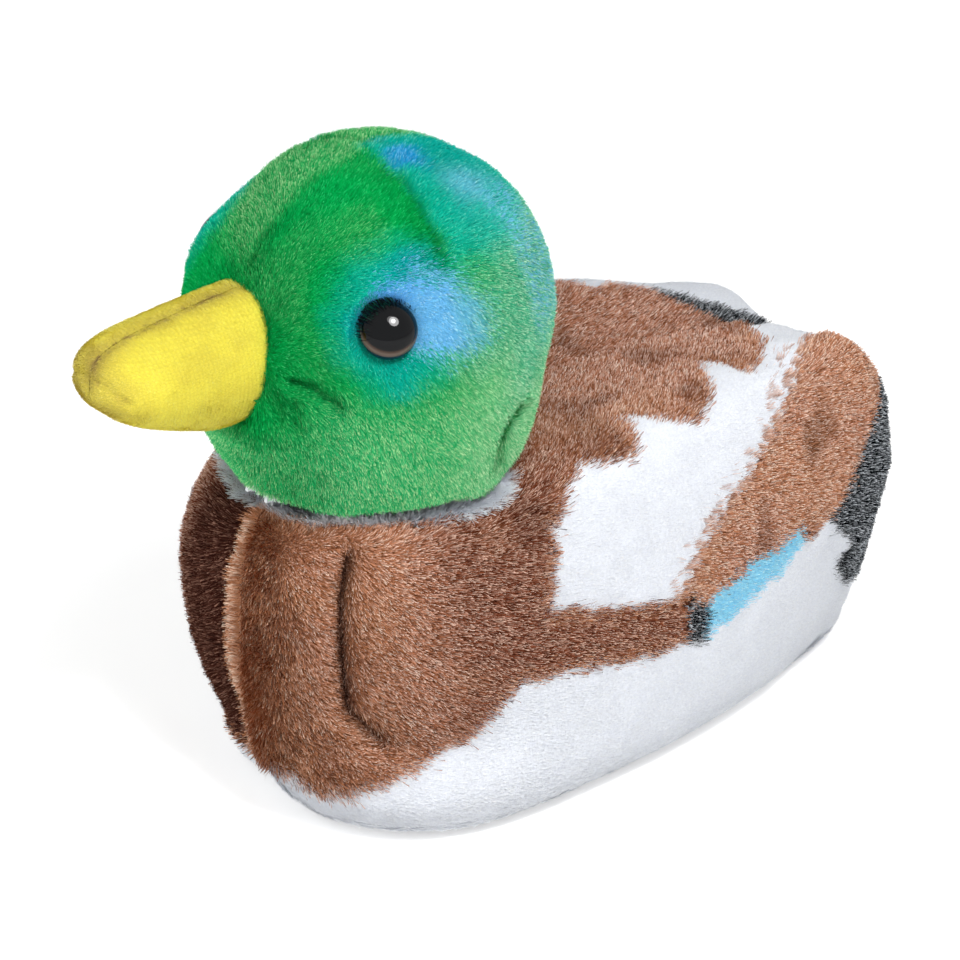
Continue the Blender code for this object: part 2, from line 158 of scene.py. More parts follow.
def inside_outline(across: np.ndarray, up: np.ndarray, outline: Outline) -> np.ndarray:
    """Which places lie inside a closed outline.

    Args:
        across: First coordinate of each place.
        up: Second coordinate of each place.
        outline: Corners in the same coordinates.

    Returns:
        True for each place inside.
    """
    inside = np.zeros(len(across), bool)
    corners = list(outline)
    for (a0, u0), (a1, u1) in zip(corners, corners[1:] + corners[:1]):
        if u0 == u1:
            continue
        crossing = (u0 > up) != (u1 > up)
        inside ^= crossing & (across < (a1 - a0) * (up - u0) / (u1 - u0) + a0)
    return inside


def line_distance(points: Rows, line: Line) -> np.ndarray:
    """Distance in metres from each point to a line of straight runs given in millimetres."""
    corners = np.array(line) * MM
    nearest = np.full(len(points), np.inf)
    for start, end in zip(corners[:-1], corners[1:]):
        run = end - start
        part = np.clip(((points - start) @ run) / (run @ run), 0.0, 1.0)
        nearest = np.minimum(nearest, np.linalg.norm(points - start - part[:, None] * run, axis=1))
    return nearest


def sunk(line: Line, towards: Triple, depth: float) -> Line:
    """A line moved by depth millimetres towards a place, as a seam is drawn in."""
    corners = np.array(line, float)
    return tuple(map(tuple, corners + unit(np.array(towards) - corners) * depth))


def folded(points: Rows) -> Rows:
    """Points brought to the left side, because the two halves of the pattern mirror each other."""
    return np.stack([np.abs(points[:, 0]), points[:, 1], points[:, 2]], axis=1)


def by_line(points: Rows, line: Line, width: float) -> np.ndarray:
    """How near each point of either side is to a line, from 1 on it to 0 some widths away."""
    return np.exp(-((line_distance(folded(points), line) / width) ** 2))


def linear(code: str) -> Triple:
    """The linear colour of a written one, such as #8B5A44."""
    parts = [int(code[k : k + 2], 16) / 255 for k in (1, 3, 5)]
    return tuple(p / 12.92 if p <= 0.04045 else ((p + 0.055) / 1.055) ** 2.4 for p in parts)


# Bench work on Blender objects


def select_only(item: bpy.types.Object) -> None:
    """Select one object alone and make it the active one."""
    if bpy.context.object and bpy.context.object.mode != "OBJECT":
        bpy.ops.object.mode_set(mode="OBJECT")
    bpy.ops.object.select_all(action="DESELECT")
    item.hide_viewport = False
    item.select_set(True)
    bpy.context.view_layer.objects.active = item


def modify(item: bpy.types.Object, kind: str, **settings: object) -> None:
    """Add a modifier with these settings and apply it.

    Args:
        item: The object to change.
        kind: Blender's name for the modifier's type.
        **settings: Values set on the modifier before it is applied.
    """
    select_only(item)
    added = item.modifiers.new(kind.title(), kind)
    for name, value in settings.items():
        setattr(added, name, value)
    bpy.ops.object.modifier_apply(modifier=added.name)


def mesh_places(item: bpy.types.Object) -> Rows:
    """Every vertex's place as rows."""
    flat = np.empty(len(item.data.vertices) * 3)
    item.data.vertices.foreach_get("co", flat)
    return flat.reshape(-1, 3)


def mesh_normals(item: bpy.types.Object) -> Rows:
    """Every vertex's normal as rows."""
    flat = np.empty(len(item.data.vertices) * 3)
    item.data.vertices.foreach_get("normal", flat)
    return flat.reshape(-1, 3)


def move_vertices(item: bpy.types.Object, places: Rows) -> None:
    """Put an object's vertices at new places."""
    item.data.vertices.foreach_set("co", places.ravel())
    item.data.update()


def merged_copy(node: str, name: str) -> bpy.types.Object:
    """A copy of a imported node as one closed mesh.

    Args:
        node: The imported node's name.
        name: The copy's name.

    Returns:
        The copy, with its loose triangles joined.
    """
    source = frame["nodes"][node]
    item = bpy.data.objects.new(name, source.data.copy())
    bpy.context.scene.collection.objects.link(item)
    item.data.materials.clear()
    select_only(item)
    bpy.ops.object.mode_set(mode="EDIT")
    bpy.ops.mesh.select_all(action="SELECT")
    bpy.ops.mesh.remove_doubles(threshold=0.00001)
    bpy.ops.object.mode_set(mode="OBJECT")
    return item


def joined(name: str, items: list[bpy.types.Object]) -> bpy.types.Object:
    """Several objects as one, under a new name."""
    select_only(items[0])
    for item in items[1:]:
        item.select_set(True)
    bpy.ops.object.join()
    items[0].name = name
    items[0].data.name = name
    return items[0]


def keep_outer_shell(item: bpy.types.Object) -> None:
    """Delete the loose shells inside a remeshed form and keep the one with the highest point."""
    select_only(item)
    item.data.vertices.foreach_set("select", np.zeros(len(item.data.vertices), bool))
    item.data.edges.foreach_set("select", np.zeros(len(item.data.edges), bool))
    item.data.polygons.foreach_set("select", np.zeros(len(item.data.polygons), bool))
    item.data.vertices[int(mesh_places(item)[:, 2].argmax())].select = True
    bpy.ops.object.mode_set(mode="EDIT")
    bpy.ops.mesh.select_mode(type="VERT")
    bpy.ops.mesh.select_linked(delimit=set())
    bpy.ops.mesh.select_all(action="INVERT")
    bpy.ops.mesh.delete(type="VERT")
    bpy.ops.object.mode_set(mode="OBJECT")


def trimmed(item: bpy.types.Object, place: Triple, away: Triple) -> None:
    """Cut off all that lies past a plane.

    Args:
        item: The object to cut.
        place: A point on the plane.
        away: The direction that is cut off.
    """
    select_only(item)
    bpy.ops.object.mode_set(mode="EDIT")
    bpy.ops.mesh.select_all(action="SELECT")
    bpy.ops.mesh.bisect(plane_co=place, plane_no=away, clear_outer=True, use_fill=False)
    bpy.ops.object.mode_set(mode="OBJECT")


def finish_piece(
    item: bpy.types.Object, material: bpy.types.Material, nodes: tuple[str, ...] = ()
) -> bpy.types.Object:
    """Dress a finished piece and fix it to the duck.

    Args:
        item: The piece.
        material: Its finish.
        nodes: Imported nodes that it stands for.

    Returns:
        The same piece.
    """
    item.data.materials.clear()
    item.data.materials.append(material)
    if nodes:
        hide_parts(*nodes)
    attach(item, "root")
    log.info("%s: %d faces", item.name, len(item.data.polygons))
    return item


# Finishes


class NodeBench:
    """A material's node tree with short calls for adding and wiring nodes."""

    def __init__(self, name: str) -> None:
        """Start a material whose tree holds a Principled shader and its output."""
        self.material = bpy.data.materials.new(name)
        self.material.use_nodes = True
        self.tree = self.material.node_tree
        self.shader = self.tree.nodes["Principled BSDF"]

    def add(self, kind: str, values: SocketValues | None = None, **settings: object) -> bpy.types.Node:
        """Add a node.

        Args:
            kind: Blender's name for the node's type.
            values: Default values for its input sockets.
            **settings: Values set on the node itself.

        Returns:
            The node.
        """
        node = self.tree.nodes.new(kind)
        for name, value in settings.items():
            setattr(node, name, value)
        for socket, value in (values or {}).items():
            node.inputs[socket].default_value = value
        return node

    def wire(self, source: Socket, target: Socket) -> None:
        """Link an output to an input."""
        self.tree.links.new(source, target)

    def noise(self, scale: float, detail: float = 2.0, roughness: float = 0.5) -> Socket:
        """Noise on Object coordinates, as a socket from 0 to 1."""
        place = self.add("ShaderNodeTexCoord")
        node = self.add("ShaderNodeTexNoise", {"Scale": scale, "Detail": detail, "Roughness": roughness})
        self.wire(place.outputs["Object"], node.inputs["Vector"])
        return node.outputs["Fac"]

    def ramp(self, source: Socket, stops: list[tuple[float, Triple]]) -> Socket:
        """Colours along a value.

        Args:
            source: The value from 0 to 1.
            stops: Places with their colours.

        Returns:
            The colour socket.
        """
        node = self.add("ShaderNodeValToRGB")
        elements = node.color_ramp.elements
        while len(elements) < len(stops):
            elements.new(0.5)
        for element, (place, colour) in zip(elements, stops):
            element.position = place
            element.color = (*colour, 1.0)
        self.wire(source, node.inputs["Fac"])
        return node.outputs["Color"]

    def multiply(self, first: Socket, second: Socket) -> Socket:
        """One colour times another."""
        node = self.add("ShaderNodeMix", data_type="RGBA", blend_type="MULTIPLY")
        node.inputs[0].default_value = 1.0
        self.wire(first, node.inputs[6])
        self.wire(second, node.inputs[7])
        return node.outputs[2]

    def bump(self, height: Socket, distance: float, strength: float = 1.0) -> None:
        """Raise the surface by a height socket, by at most distance in metres."""
        node = self.add("ShaderNodeBump", {"Distance": distance, "Strength": strength})
        self.wire(height, node.inputs["Height"])
        self.wire(node.outputs["Normal"], self.shader.inputs["Normal"])

    def gloss(self, **values: float) -> None:
        """Set the shader's own sockets, written with underscores for spaces."""
        for name, value in values.items():
            self.shader.inputs[name.replace("_", " ")].default_value = value


@dataclass(frozen=True)
class PileFinish:
    """Dyed fibre: the strand's colour from its vertices, where painted shade darkens the root and painted
    glints light some tips, mottled finely, with a soft sheen.
    """

    name: str
    roughness: float = 0.55
    sheen: float = 0.0
    specular: float = 0.0
    grain: float = 2600.0

    def make(self) -> bpy.types.Material:
        """The material."""
        bench = NodeBench(self.name)
        dye = bench.add("ShaderNodeAttribute", attribute_name="dye")
        mottle = bench.ramp(bench.noise(self.grain, 1.0), [(0.25, (0.86,) * 3), (0.75, (1.0,) * 3)])
        bench.wire(bench.multiply(dye.outputs["Color"], mottle), bench.shader.inputs["Base Color"])
        bench.gloss(Roughness=self.roughness, Sheen_Weight=self.sheen, Sheen_Roughness=0.45)
        bench.gloss(Specular_IOR_Level=self.specular)
        return bench.material


@dataclass(frozen=True)
class BackingFinish:
    """Knitted backing between the roots of the pile, in the pile's dye with its painted shade."""

    name: str
    stitch: float = 1100.0

    def make(self) -> bpy.types.Material:
        """The material."""
        bench = NodeBench(self.name)
        dye = bench.add("ShaderNodeAttribute", attribute_name="dye")
        loops = bench.noise(self.stitch, 3.0, 0.6)
        shade = bench.ramp(loops, [(0.2, (0.85,) * 3), (0.8, (1.0,) * 3)])
        bench.wire(bench.multiply(dye.outputs["Color"], shade), bench.shader.inputs["Base Color"])
        bench.bump(loops, 0.0002)
        bench.gloss(Roughness=0.9, Sheen_Weight=0.2, Specular_IOR_Level=0.0)
        return bench.material


@dataclass(frozen=True)
class FineKnitFinish:
    """Fine brushed knit: rows of small stitches across the bill under a short nap, in its own dye."""

    name: str
    row: float = 0.00066
    stitch: float = 0.00042

    def make(self) -> bpy.types.Material:
        """The material."""
        bench = NodeBench(self.name)
        dye = bench.add("ShaderNodeAttribute", attribute_name="dye")
        place = bench.add("ShaderNodeTexCoord")
        bands = []
        for pitch, direction in ((self.row, "Y"), (self.stitch, "Z")):
            values = {"Scale": WAVE_PERIOD / pitch, "Distortion": 1.2, "Detail": 1.0}
            wave = bench.add("ShaderNodeTexWave", values, bands_direction=direction)
            bench.wire(place.outputs["Object"], wave.inputs["Vector"])
            bands.append(wave.outputs["Fac"])
        stitches = bench.add("ShaderNodeMath", operation="MULTIPLY")
        bench.wire(bands[0], stitches.inputs[0])
        bench.wire(bands[1], stitches.inputs[1])
        nap = bench.noise(3200.0, 3.0, 0.7)
        height = bench.add("ShaderNodeMath", operation="ADD")
        bench.wire(stitches.outputs[0], height.inputs[0])
        bench.wire(nap, height.inputs[1])
        half = bench.add("ShaderNodeMath", {1: 0.5}, operation="MULTIPLY")
        bench.wire(height.outputs[0], half.inputs[0])
        shade = bench.ramp(half.outputs[0], [(0.15, (0.86,) * 3), (0.6, (1.0,) * 3)])
        bench.wire(bench.multiply(dye.outputs["Color"], shade), bench.shader.inputs["Base Color"])
        bench.bump(half.outputs[0], 0.00012)
        bench.gloss(Roughness=0.85, Sheen_Weight=0.15, Sheen_Roughness=0.5, Specular_IOR_Level=0.0)
        return bench.material


@dataclass(frozen=True)
class EyeFinish:
    """Polished dark plastic with a brown iris that shows as a crescent under the wide pupil."""

    name: str
    middle: Triple
    drop: Triple
    pupil: float
    iris: float

    def make(self) -> bpy.types.Material:
        """The material."""
        bench = NodeBench(self.name)
        place = bench.add("ShaderNodeTexCoord")
        centre = [a + b for a, b in zip(self.middle, self.drop)]
        ring = bench.add("ShaderNodeVectorMath", operation="DISTANCE")
        bench.wire(place.outputs["Object"], ring.inputs[0])
        ring.inputs[1].default_value = centre
        span = bench.add("ShaderNodeMath", {1: 1.0 / self.iris}, operation="MULTIPLY")
        bench.wire(ring.outputs["Value"], span.inputs[0])
        edge = self.pupil / self.iris
        stops = [
            (0.0, linear("#020305")),
            (edge * 0.97, linear("#020305")),
            (edge * 1.03, linear("#3E2E24")),
            (edge * 1.10, linear("#5E4E44")),
            (edge * 1.17, linear("#54463E")),
            (edge * 1.22, linear("#0C1430")),
        ]
        bench.wire(bench.ramp(span.outputs[0], stops), bench.shader.inputs["Base Color"])
        bench.gloss(Roughness=0.05, Specular_IOR_Level=0.2)
        return bench.material


@dataclass(frozen=True)
class PlasticFinish:
    """Moulded plastic with faint flow marks."""

    name: str
    dark: str
    light: str
    scale: float
    roughness: float = 0.45

    def make(self) -> bpy.types.Material:
        """The material."""
        bench = NodeBench(self.name)
        flow = bench.noise(self.scale, 3.0)
        colour = bench.ramp(flow, [(0.3, linear(self.dark)), (0.7, linear(self.light))])
        bench.wire(colour, bench.shader.inputs["Base Color"])
        bench.bump(flow, 0.00003)
        bench.gloss(Roughness=self.roughness)
        return bench.material


@dataclass(frozen=True)
class WaddingFinish:
    """Loose white polyester fibre: drawn-out streaks with soft hollows."""

    name: str

    def make(self) -> bpy.types.Material:
        """The material."""
        bench = NodeBench(self.name)
        place = bench.add("ShaderNodeTexCoord")
        drawn = bench.add("ShaderNodeMapping", {"Scale": (1.0, 0.25, 0.6)})
        bench.wire(place.outputs["Object"], drawn.inputs["Vector"])
        streaks = {"Scale": 900.0, "Detail": 6.0, "Roughness": 0.7, "Distortion": 1.5}
        fibre = bench.add("ShaderNodeTexNoise", streaks)
        bench.wire(drawn.outputs["Vector"], fibre.inputs["Vector"])
        colour = bench.ramp(fibre.outputs["Fac"], [(0.3, linear("#C9CDD2")), (0.65, linear("#F4F5F6"))])
        bench.wire(colour, bench.shader.inputs["Base Color"])
        bench.bump(fibre.outputs["Fac"], 0.0006)
        bench.gloss(Roughness=0.9, Sheen_Weight=0.4)
        return bench.material


@dataclass(frozen=True)
class PouchClothFinish:
    """Plain woven cotton: two crossing sets of threads."""

    name: str
    pitch: float = 0.0005

    def make(self) -> bpy.types.Material:
        """The material."""
        bench = NodeBench(self.name)
        place = bench.add("ShaderNodeTexCoord")
        threads = []
        for direction in ("X", "Y"):
            values = {"Scale": WAVE_PERIOD / self.pitch, "Distortion": 0.6}
            wave = bench.add("ShaderNodeTexWave", values, bands_direction=direction)
            bench.wire(place.outputs["Object"], wave.inputs["Vector"])
            threads.append(wave.outputs["Fac"])
        weave = bench.add("ShaderNodeMath", operation="MAXIMUM")
        bench.wire(threads[0], weave.inputs[0])
        bench.wire(threads[1], weave.inputs[1])
        colour = bench.ramp(weave.outputs[0], [(0.2, linear("#B7B4AA")), (0.9, linear("#E4E1D8"))])
        bench.wire(colour, bench.shader.inputs["Base Color"])
        bench.bump(weave.outputs[0], 0.0001)
        bench.gloss(Roughness=0.85, Sheen_Weight=0.2)
        return bench.material


@dataclass(frozen=True)
class FloorFinish:
    """A plain white sweep that the camera sees as white and that keeps the duck's shadow."""

    name: str
    lift: float = 0.42

    def make(self) -> bpy.types.Material:
        """The material."""
        bench = NodeBench(self.name)
        sand = bench.ramp(bench.noise(40.0, 2.0), [(0.3, (0.83,) * 3), (0.7, (0.85,) * 3)])
        bench.wire(sand, bench.shader.inputs["Base Color"])
        bench.gloss(Roughness=1.0, Specular_IOR_Level=0.0)
        seen = seen_ray(bench)
        glow = bench.add("ShaderNodeMath", {1: self.lift}, operation="MULTIPLY")
        bench.wire(seen, glow.inputs[0])
        bench.shader.inputs["Emission Color"].default_value = (1.0, 1.0, 1.0, 1.0)
        bench.wire(glow.outputs[0], bench.shader.inputs["Emission Strength"])
        return bench.material


def seen_ray(bench: "NodeBench | WorldBench") -> Socket:
    """A socket that is 1 for rays that the camera sees directly, in gloss or through glass."""
    path = bench.add("ShaderNodeLightPath")
    either = bench.add("ShaderNodeMath", operation="MAXIMUM")
    bench.wire(path.outputs["Is Camera Ray"], either.inputs[0])
    bench.wire(path.outputs["Is Glossy Ray"], either.inputs[1])
    any_of = bench.add("ShaderNodeMath", operation="MAXIMUM")
    bench.wire(either.outputs[0], any_of.inputs[0])
    bench.wire(path.outputs["Is Transmission Ray"], any_of.inputs[1])
    return any_of.outputs[0]


class WorldBench(NodeBench):
    """The world's node tree, with the same calls as a material's."""

    def __init__(self, name: str) -> None:
        """Start a world and make it the scene's."""
        world = bpy.data.worlds.new(name)
        world.use_nodes = True
        bpy.context.scene.world = world
        self.tree = world.node_tree
        self.shader = self.tree.nodes["Background"]


# Dyes and printed patterns, also laid as painted shade, light, sheen and glints


@dataclass(frozen=True)
class Dye:
    """One printed colour with a lighter and a darker tone for its strands, and how far the strands differ;
    the lighter tone also serves as the painted glint on bright tips.
    """

    base: str
    light: str
    dark: str
    spread: float = 0.5

    def rows(self) -> np.ndarray:
        """The three linear colours and the spread, one per row."""
        return np.array([linear(self.base), linear(self.light), linear(self.dark), (self.spread,) * 3])


class Print:
    """Dyes, and painted shade, light and sheen, laid over each other at the root of each strand."""

    # Share of strands whose tips carry a painted glint, standing in for highlights on the fibres.
    GLINTS = 0.12

    def __init__(self, count: int, ground: Dye) -> None:
        """Start with one dye at all of count roots."""
        self.rows = np.repeat(ground.rows()[None], count, axis=0)

    def lay(self, dye: Dye, cover: np.ndarray) -> None:
        """Lay a dye over the others where cover is above 0."""
        share = np.asarray(cover, float)[:, None, None]
        self.rows = self.rows * (1.0 - share) + dye.rows()[None] * share

    def strands(self, roots: Rows, rng: np.random.Generator) -> np.ndarray:
        """One colour for each strand: small locks that vary together, and single strands with a painted glint
        in the lighter tone on their tips.

        Args:
            roots: Where the strands stand.
            rng: Source of the strands' differences.

        Returns:
            The linear colours of each strand's root and tip.
        """
        spread = self.rows[:, 3, 0]
        draw = (rng.normal(0.0, 0.6, len(roots)) + 0.5 * patch_noise(roots, 0.5 * MM, 91)) * spread
        lit, shaded = np.clip(draw * 0.55, 0.0, 0.6), np.clip(-draw * 1.2, 0.0, 1.0)
        # Painted glints: these strands get the lighter tone at full on their tips.
        glint = rng.random(len(roots)) < self.GLINTS * spread
        lit, shaded = np.where(glint, 1.0, lit)[:, None], np.where(glint, 0.0, shaded)[:, None]
        base, light, dark = self.rows[:, 0], self.rows[:, 1], self.rows[:, 2]
        return np.stack([base, base + (light - base) * lit + (dark - base) * shaded], axis=1)

    def ground(self) -> np.ndarray:
        """The base colour at each root."""
        return self.rows[:, 0]


BROWN = Dye("#884A32", "#ECC6B0", "#3C1A12", 1.0)
# Lighter brown of the back, also laid as painted light on the near breast.
BACK_BROWN = Dye("#C4805E", "#FFE4D4", "#54291A", 1.0)
# Dark patches of the print, and painted shade on the far breast, along the breast seam and in the chest dart.
DEEP_BROWN_AND_SHADE = Dye("#361A14", "#8C6454", "#160806", 0.8)
# Rust-coloured print, also laid as painted light on the near breast.
RUST = Dye("#CC8C64", "#F8DCC4", "#8C5638", 0.9)
WHITE = Dye("#EEF1F8", "#F8FAFF", "#E6EAF3", 0.4)
CHARCOAL = Dye("#0A0D11", "#DCE2E8", "#040608", 0.75)
SPECULUM = Dye("#96DEFC", "#D0F2FC", "#60BCE8", 0.5)
GREEN = Dye("#04AE50", "#2CD478", "#037636", 0.55)
# Lighter mottle of the crown, and painted sheen over the far side of the crown.
CROWN_GREEN = Dye("#30B460", "#B8EAA8", "#0C8440", 0.9)
CHEEK_GREEN = Dye("#34C276", "#C4F4B0", "#1C9C4C", 0.85)
NAPE_GREEN = Dye("#56C698", "#C8F6D0", "#1E9C74", 0.9)
# Painted shade in the head's dart, cheek crease and dents, and beside the dart.
DEEP_GREEN_SHADE = Dye("#058038", "#1CAA54", "#045024", 0.5)
TEAL = Dye("#08BEA6", "#50E4CC", "#048C86", 0.4)
AQUA = Dye("#0AA2AC", "#60D8DE", "#087C90", 0.4)
AZURE = Dye("#2098D8", "#80D0F4", "#146CB4", 0.6)
SKY = Dye("#80D2FC", "#C4F0FC", "#50A2E8", 0.45)
PERIWINKLE = Dye("#58B0F4", "#A0D6FA", "#3C8CE0", 0.4)
PALE_GREEN = Dye("#80DE98", "#DCFAC8", "#38B064", 0.9)
HALO_GREEN = Dye("#8CDC8C", "#DCF8C8", "#50B45C", 0.6)
YELLOW = Dye("#FCEE5A", "#FFF694", "#E4D04C", 0.4)
WORN_YELLOW = Dye("#B89060", "#D8B480", "#8C6444", 0.5)
DUSTY_YELLOW = Dye("#D6BE5C", "#ECDE90", "#A88E40", 0.5)


# Sewn forms


@dataclass(frozen=True)
class Crease:
    """A seam, dart or fold that draws the cloth in. The path is in millimetres, width and depth in metres."""

    path: Line
    width: float
    depth: float

    def laid_on(self, probe: "FormProbe") -> "Crease":
        """The same crease with its path brought onto a form's surface."""
        places, _ = probe.nearest(np.array(self.path) * MM)
        return Crease(tuple(map(tuple, places / MM)), self.width, self.depth)

    def pull(self, points: Rows) -> np.ndarray:
        """How far each point is drawn in, in metres."""
        return self.depth * np.exp(-((line_distance(folded(points), self.path) / self.width) ** 2))


@dataclass
class SewnForm:
    """One stuffed form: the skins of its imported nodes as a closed, plumped surface just under the pile."""

    name: str
    nodes: tuple[str, ...]
    voxel: float
    inset: float
    swell: float
    creases: tuple[Crease, ...]
    held: Callable[[Rows], np.ndarray]
    lumps: float = 0.0
    sway: Callable[[Rows], Rows] | None = None
    soften: Callable[[Rows], np.ndarray] | None = None

    def build(self) -> bpy.types.Object:
        """Remesh the nodes to one shell, plump it between its seams and draw the creases in.

        Returns:
            The closed surface that the pile stands on.
        """
        item = joined(self.name, [merged_copy(node, self.name) for node in self.nodes])
        modify(item, "REMESH", mode="VOXEL", voxel_size=self.voxel)
        keep_outer_shell(item)
        modify(item, "SMOOTH", factor=0.5, iterations=6)
        move_vertices(item, mesh_places(item) - mesh_normals(item) * (self.inset + self.swell * 0.5))
        self.plump(item)
        modify(item, "SUBSURF", levels=1, render_levels=1)
        modify(item, "SMOOTH", factor=0.5, iterations=6)
        if self.soften:
            group = item.vertex_groups.new(name="soft")
            for index, weight in enumerate(self.soften(mesh_places(item))):
                if weight > 0.01:
                    group.add([index], float(weight), "REPLACE")
            modify(item, "SMOOTH", factor=0.5, iterations=40, vertex_group="soft")
            item.vertex_groups.clear()
        places, normals = mesh_places(item), mesh_normals(item)
        probe = FormProbe(item)
        drawn = sum(crease.laid_on(probe).pull(places) for crease in self.creases)
        uneven = (patch_noise(places, 11.0 * MM, 31) + 0.5 * patch_noise(places, 5.0 * MM, 32)) * self.lumps
        uneven = uneven * ease(1.0 * MM, 6.0 * MM, places[:, 2])
        places = places - normals * (drawn - uneven)[:, None]
        move_vertices(item, self.sway(places) if self.sway else places)
        log.info("%s: closed form of %d faces", item.name, len(item.data.polygons))
        return item

    def plump(self, item: bpy.types.Object) -> None:
        """Press the filling out against the cloth with a cloth simulation, held at the seams."""
        before, normals = mesh_places(item), mesh_normals(item)
        group = item.vertex_groups.new(name="seams")
        for index, weight in enumerate(self.held(before)):
            if weight > 0.01:
                group.add([index], float(weight), "REPLACE")
        select_only(item)
        cloth = item.modifiers.new("Cloth", "CLOTH")
        cloth.settings.use_pressure = True
        cloth.settings.uniform_pressure_force = 4.0
        cloth.settings.vertex_group_mass = "seams"
        cloth.settings.effector_weights.gravity = 0.0
        cloth.settings.quality = 5
        cloth.point_cache.frame_start = 1
        cloth.point_cache.frame_end = 20
        for step in range(1, 21):
            bpy.context.scene.frame_set(step)
        bpy.ops.object.modifier_apply(modifier=cloth.name)
        bpy.context.scene.frame_set(1)
        item.vertex_groups.clear()
        shift = mesh_places(item) - before
        reach = np.linalg.norm(shift, axis=1, keepdims=True)
        log.info("%s: cloth moved by up to %.2f mm", item.name, reach.max() / MM)
        move_vertices(item, before + shift * np.minimum(1.0, self.swell / np.maximum(reach, 1e-9)))


@dataclass
class Ground:
    """The triangles of a skin's outer face, for setting pile on."""

    places: Rows
    normals: Rows
    corners: np.ndarray

    @classmethod
    def under(cls, item: bpy.types.Object) -> "Ground":
        """The ground that an open skin gives."""
        item.data.calc_loop_triangles()
        corners = np.empty(len(item.data.loop_triangles) * 3, int)
        item.data.loop_triangles.foreach_get("vertices", corners)
        return cls(mesh_places(item), mesh_normals(item), corners.reshape(-1, 3))

    def scatter(self, density: float, rng: np.random.Generator) -> tuple[Rows, Rows]:
        """Roots spread evenly.

        Args:
            density: Roots per square metre.
            rng: Source of their places.

        Returns:
            The roots and the normals under them.
        """
        a, b, c = (self.places[self.corners[:, k]] for k in range(3))
        areas = np.linalg.norm(np.cross(b - a, c - a), axis=1) / 2
        sums = np.cumsum(areas)
        count = int(sums[-1] * density)
        marks = (np.arange(count) + rng.random(count)) / count * sums[-1]
        chosen = np.minimum(np.searchsorted(sums, marks), len(areas) - 1)
        first, second = rng.random(count), rng.random(count)
        over = first + second > 1.0
        first, second = np.where(over, 1.0 - first, first), np.where(over, 1.0 - second, second)
        shares = np.stack([1.0 - first - second, first, second], axis=1)[:, :, None]
        corners = self.corners[chosen]
        roots = (self.places[corners] * shares).sum(axis=1)
        normals = unit((self.normals[corners] * shares).sum(axis=1))
        return roots, normals


@dataclass(frozen=True)
class PileCut:
    """How a pile is cut and combed: metres, strands per square metre and radians."""

    length: float
    width: float
    density: float
    lean: float
    ruffle: float
    tuft: float


@dataclass
class Strands:
    """Pile strands before they become a mesh."""

    roots: Rows
    normals: Rows
    combed: Rows
    scale: np.ndarray
    colours: np.ndarray

    def chosen(self, keep: np.ndarray) -> "Strands":
        """Only the strands that keep marks."""
        columns = (self.roots, self.normals, self.combed, self.scale, self.colours)
        return Strands(*(rows[keep] for rows in columns))

    def pale(self) -> np.ndarray:
        """How near to white each strand is, from 0 to 1."""
        return ease(0.5, 0.85, self.colours[:, 0].mean(axis=1))

    def spark(self) -> np.ndarray:
        """How much painted glint each strand's tip carries over its root, from 0 to 1."""
        return ease(0.12, 0.35, self.colours[:, 1].mean(axis=1) - self.colours[:, 0].mean(axis=1))


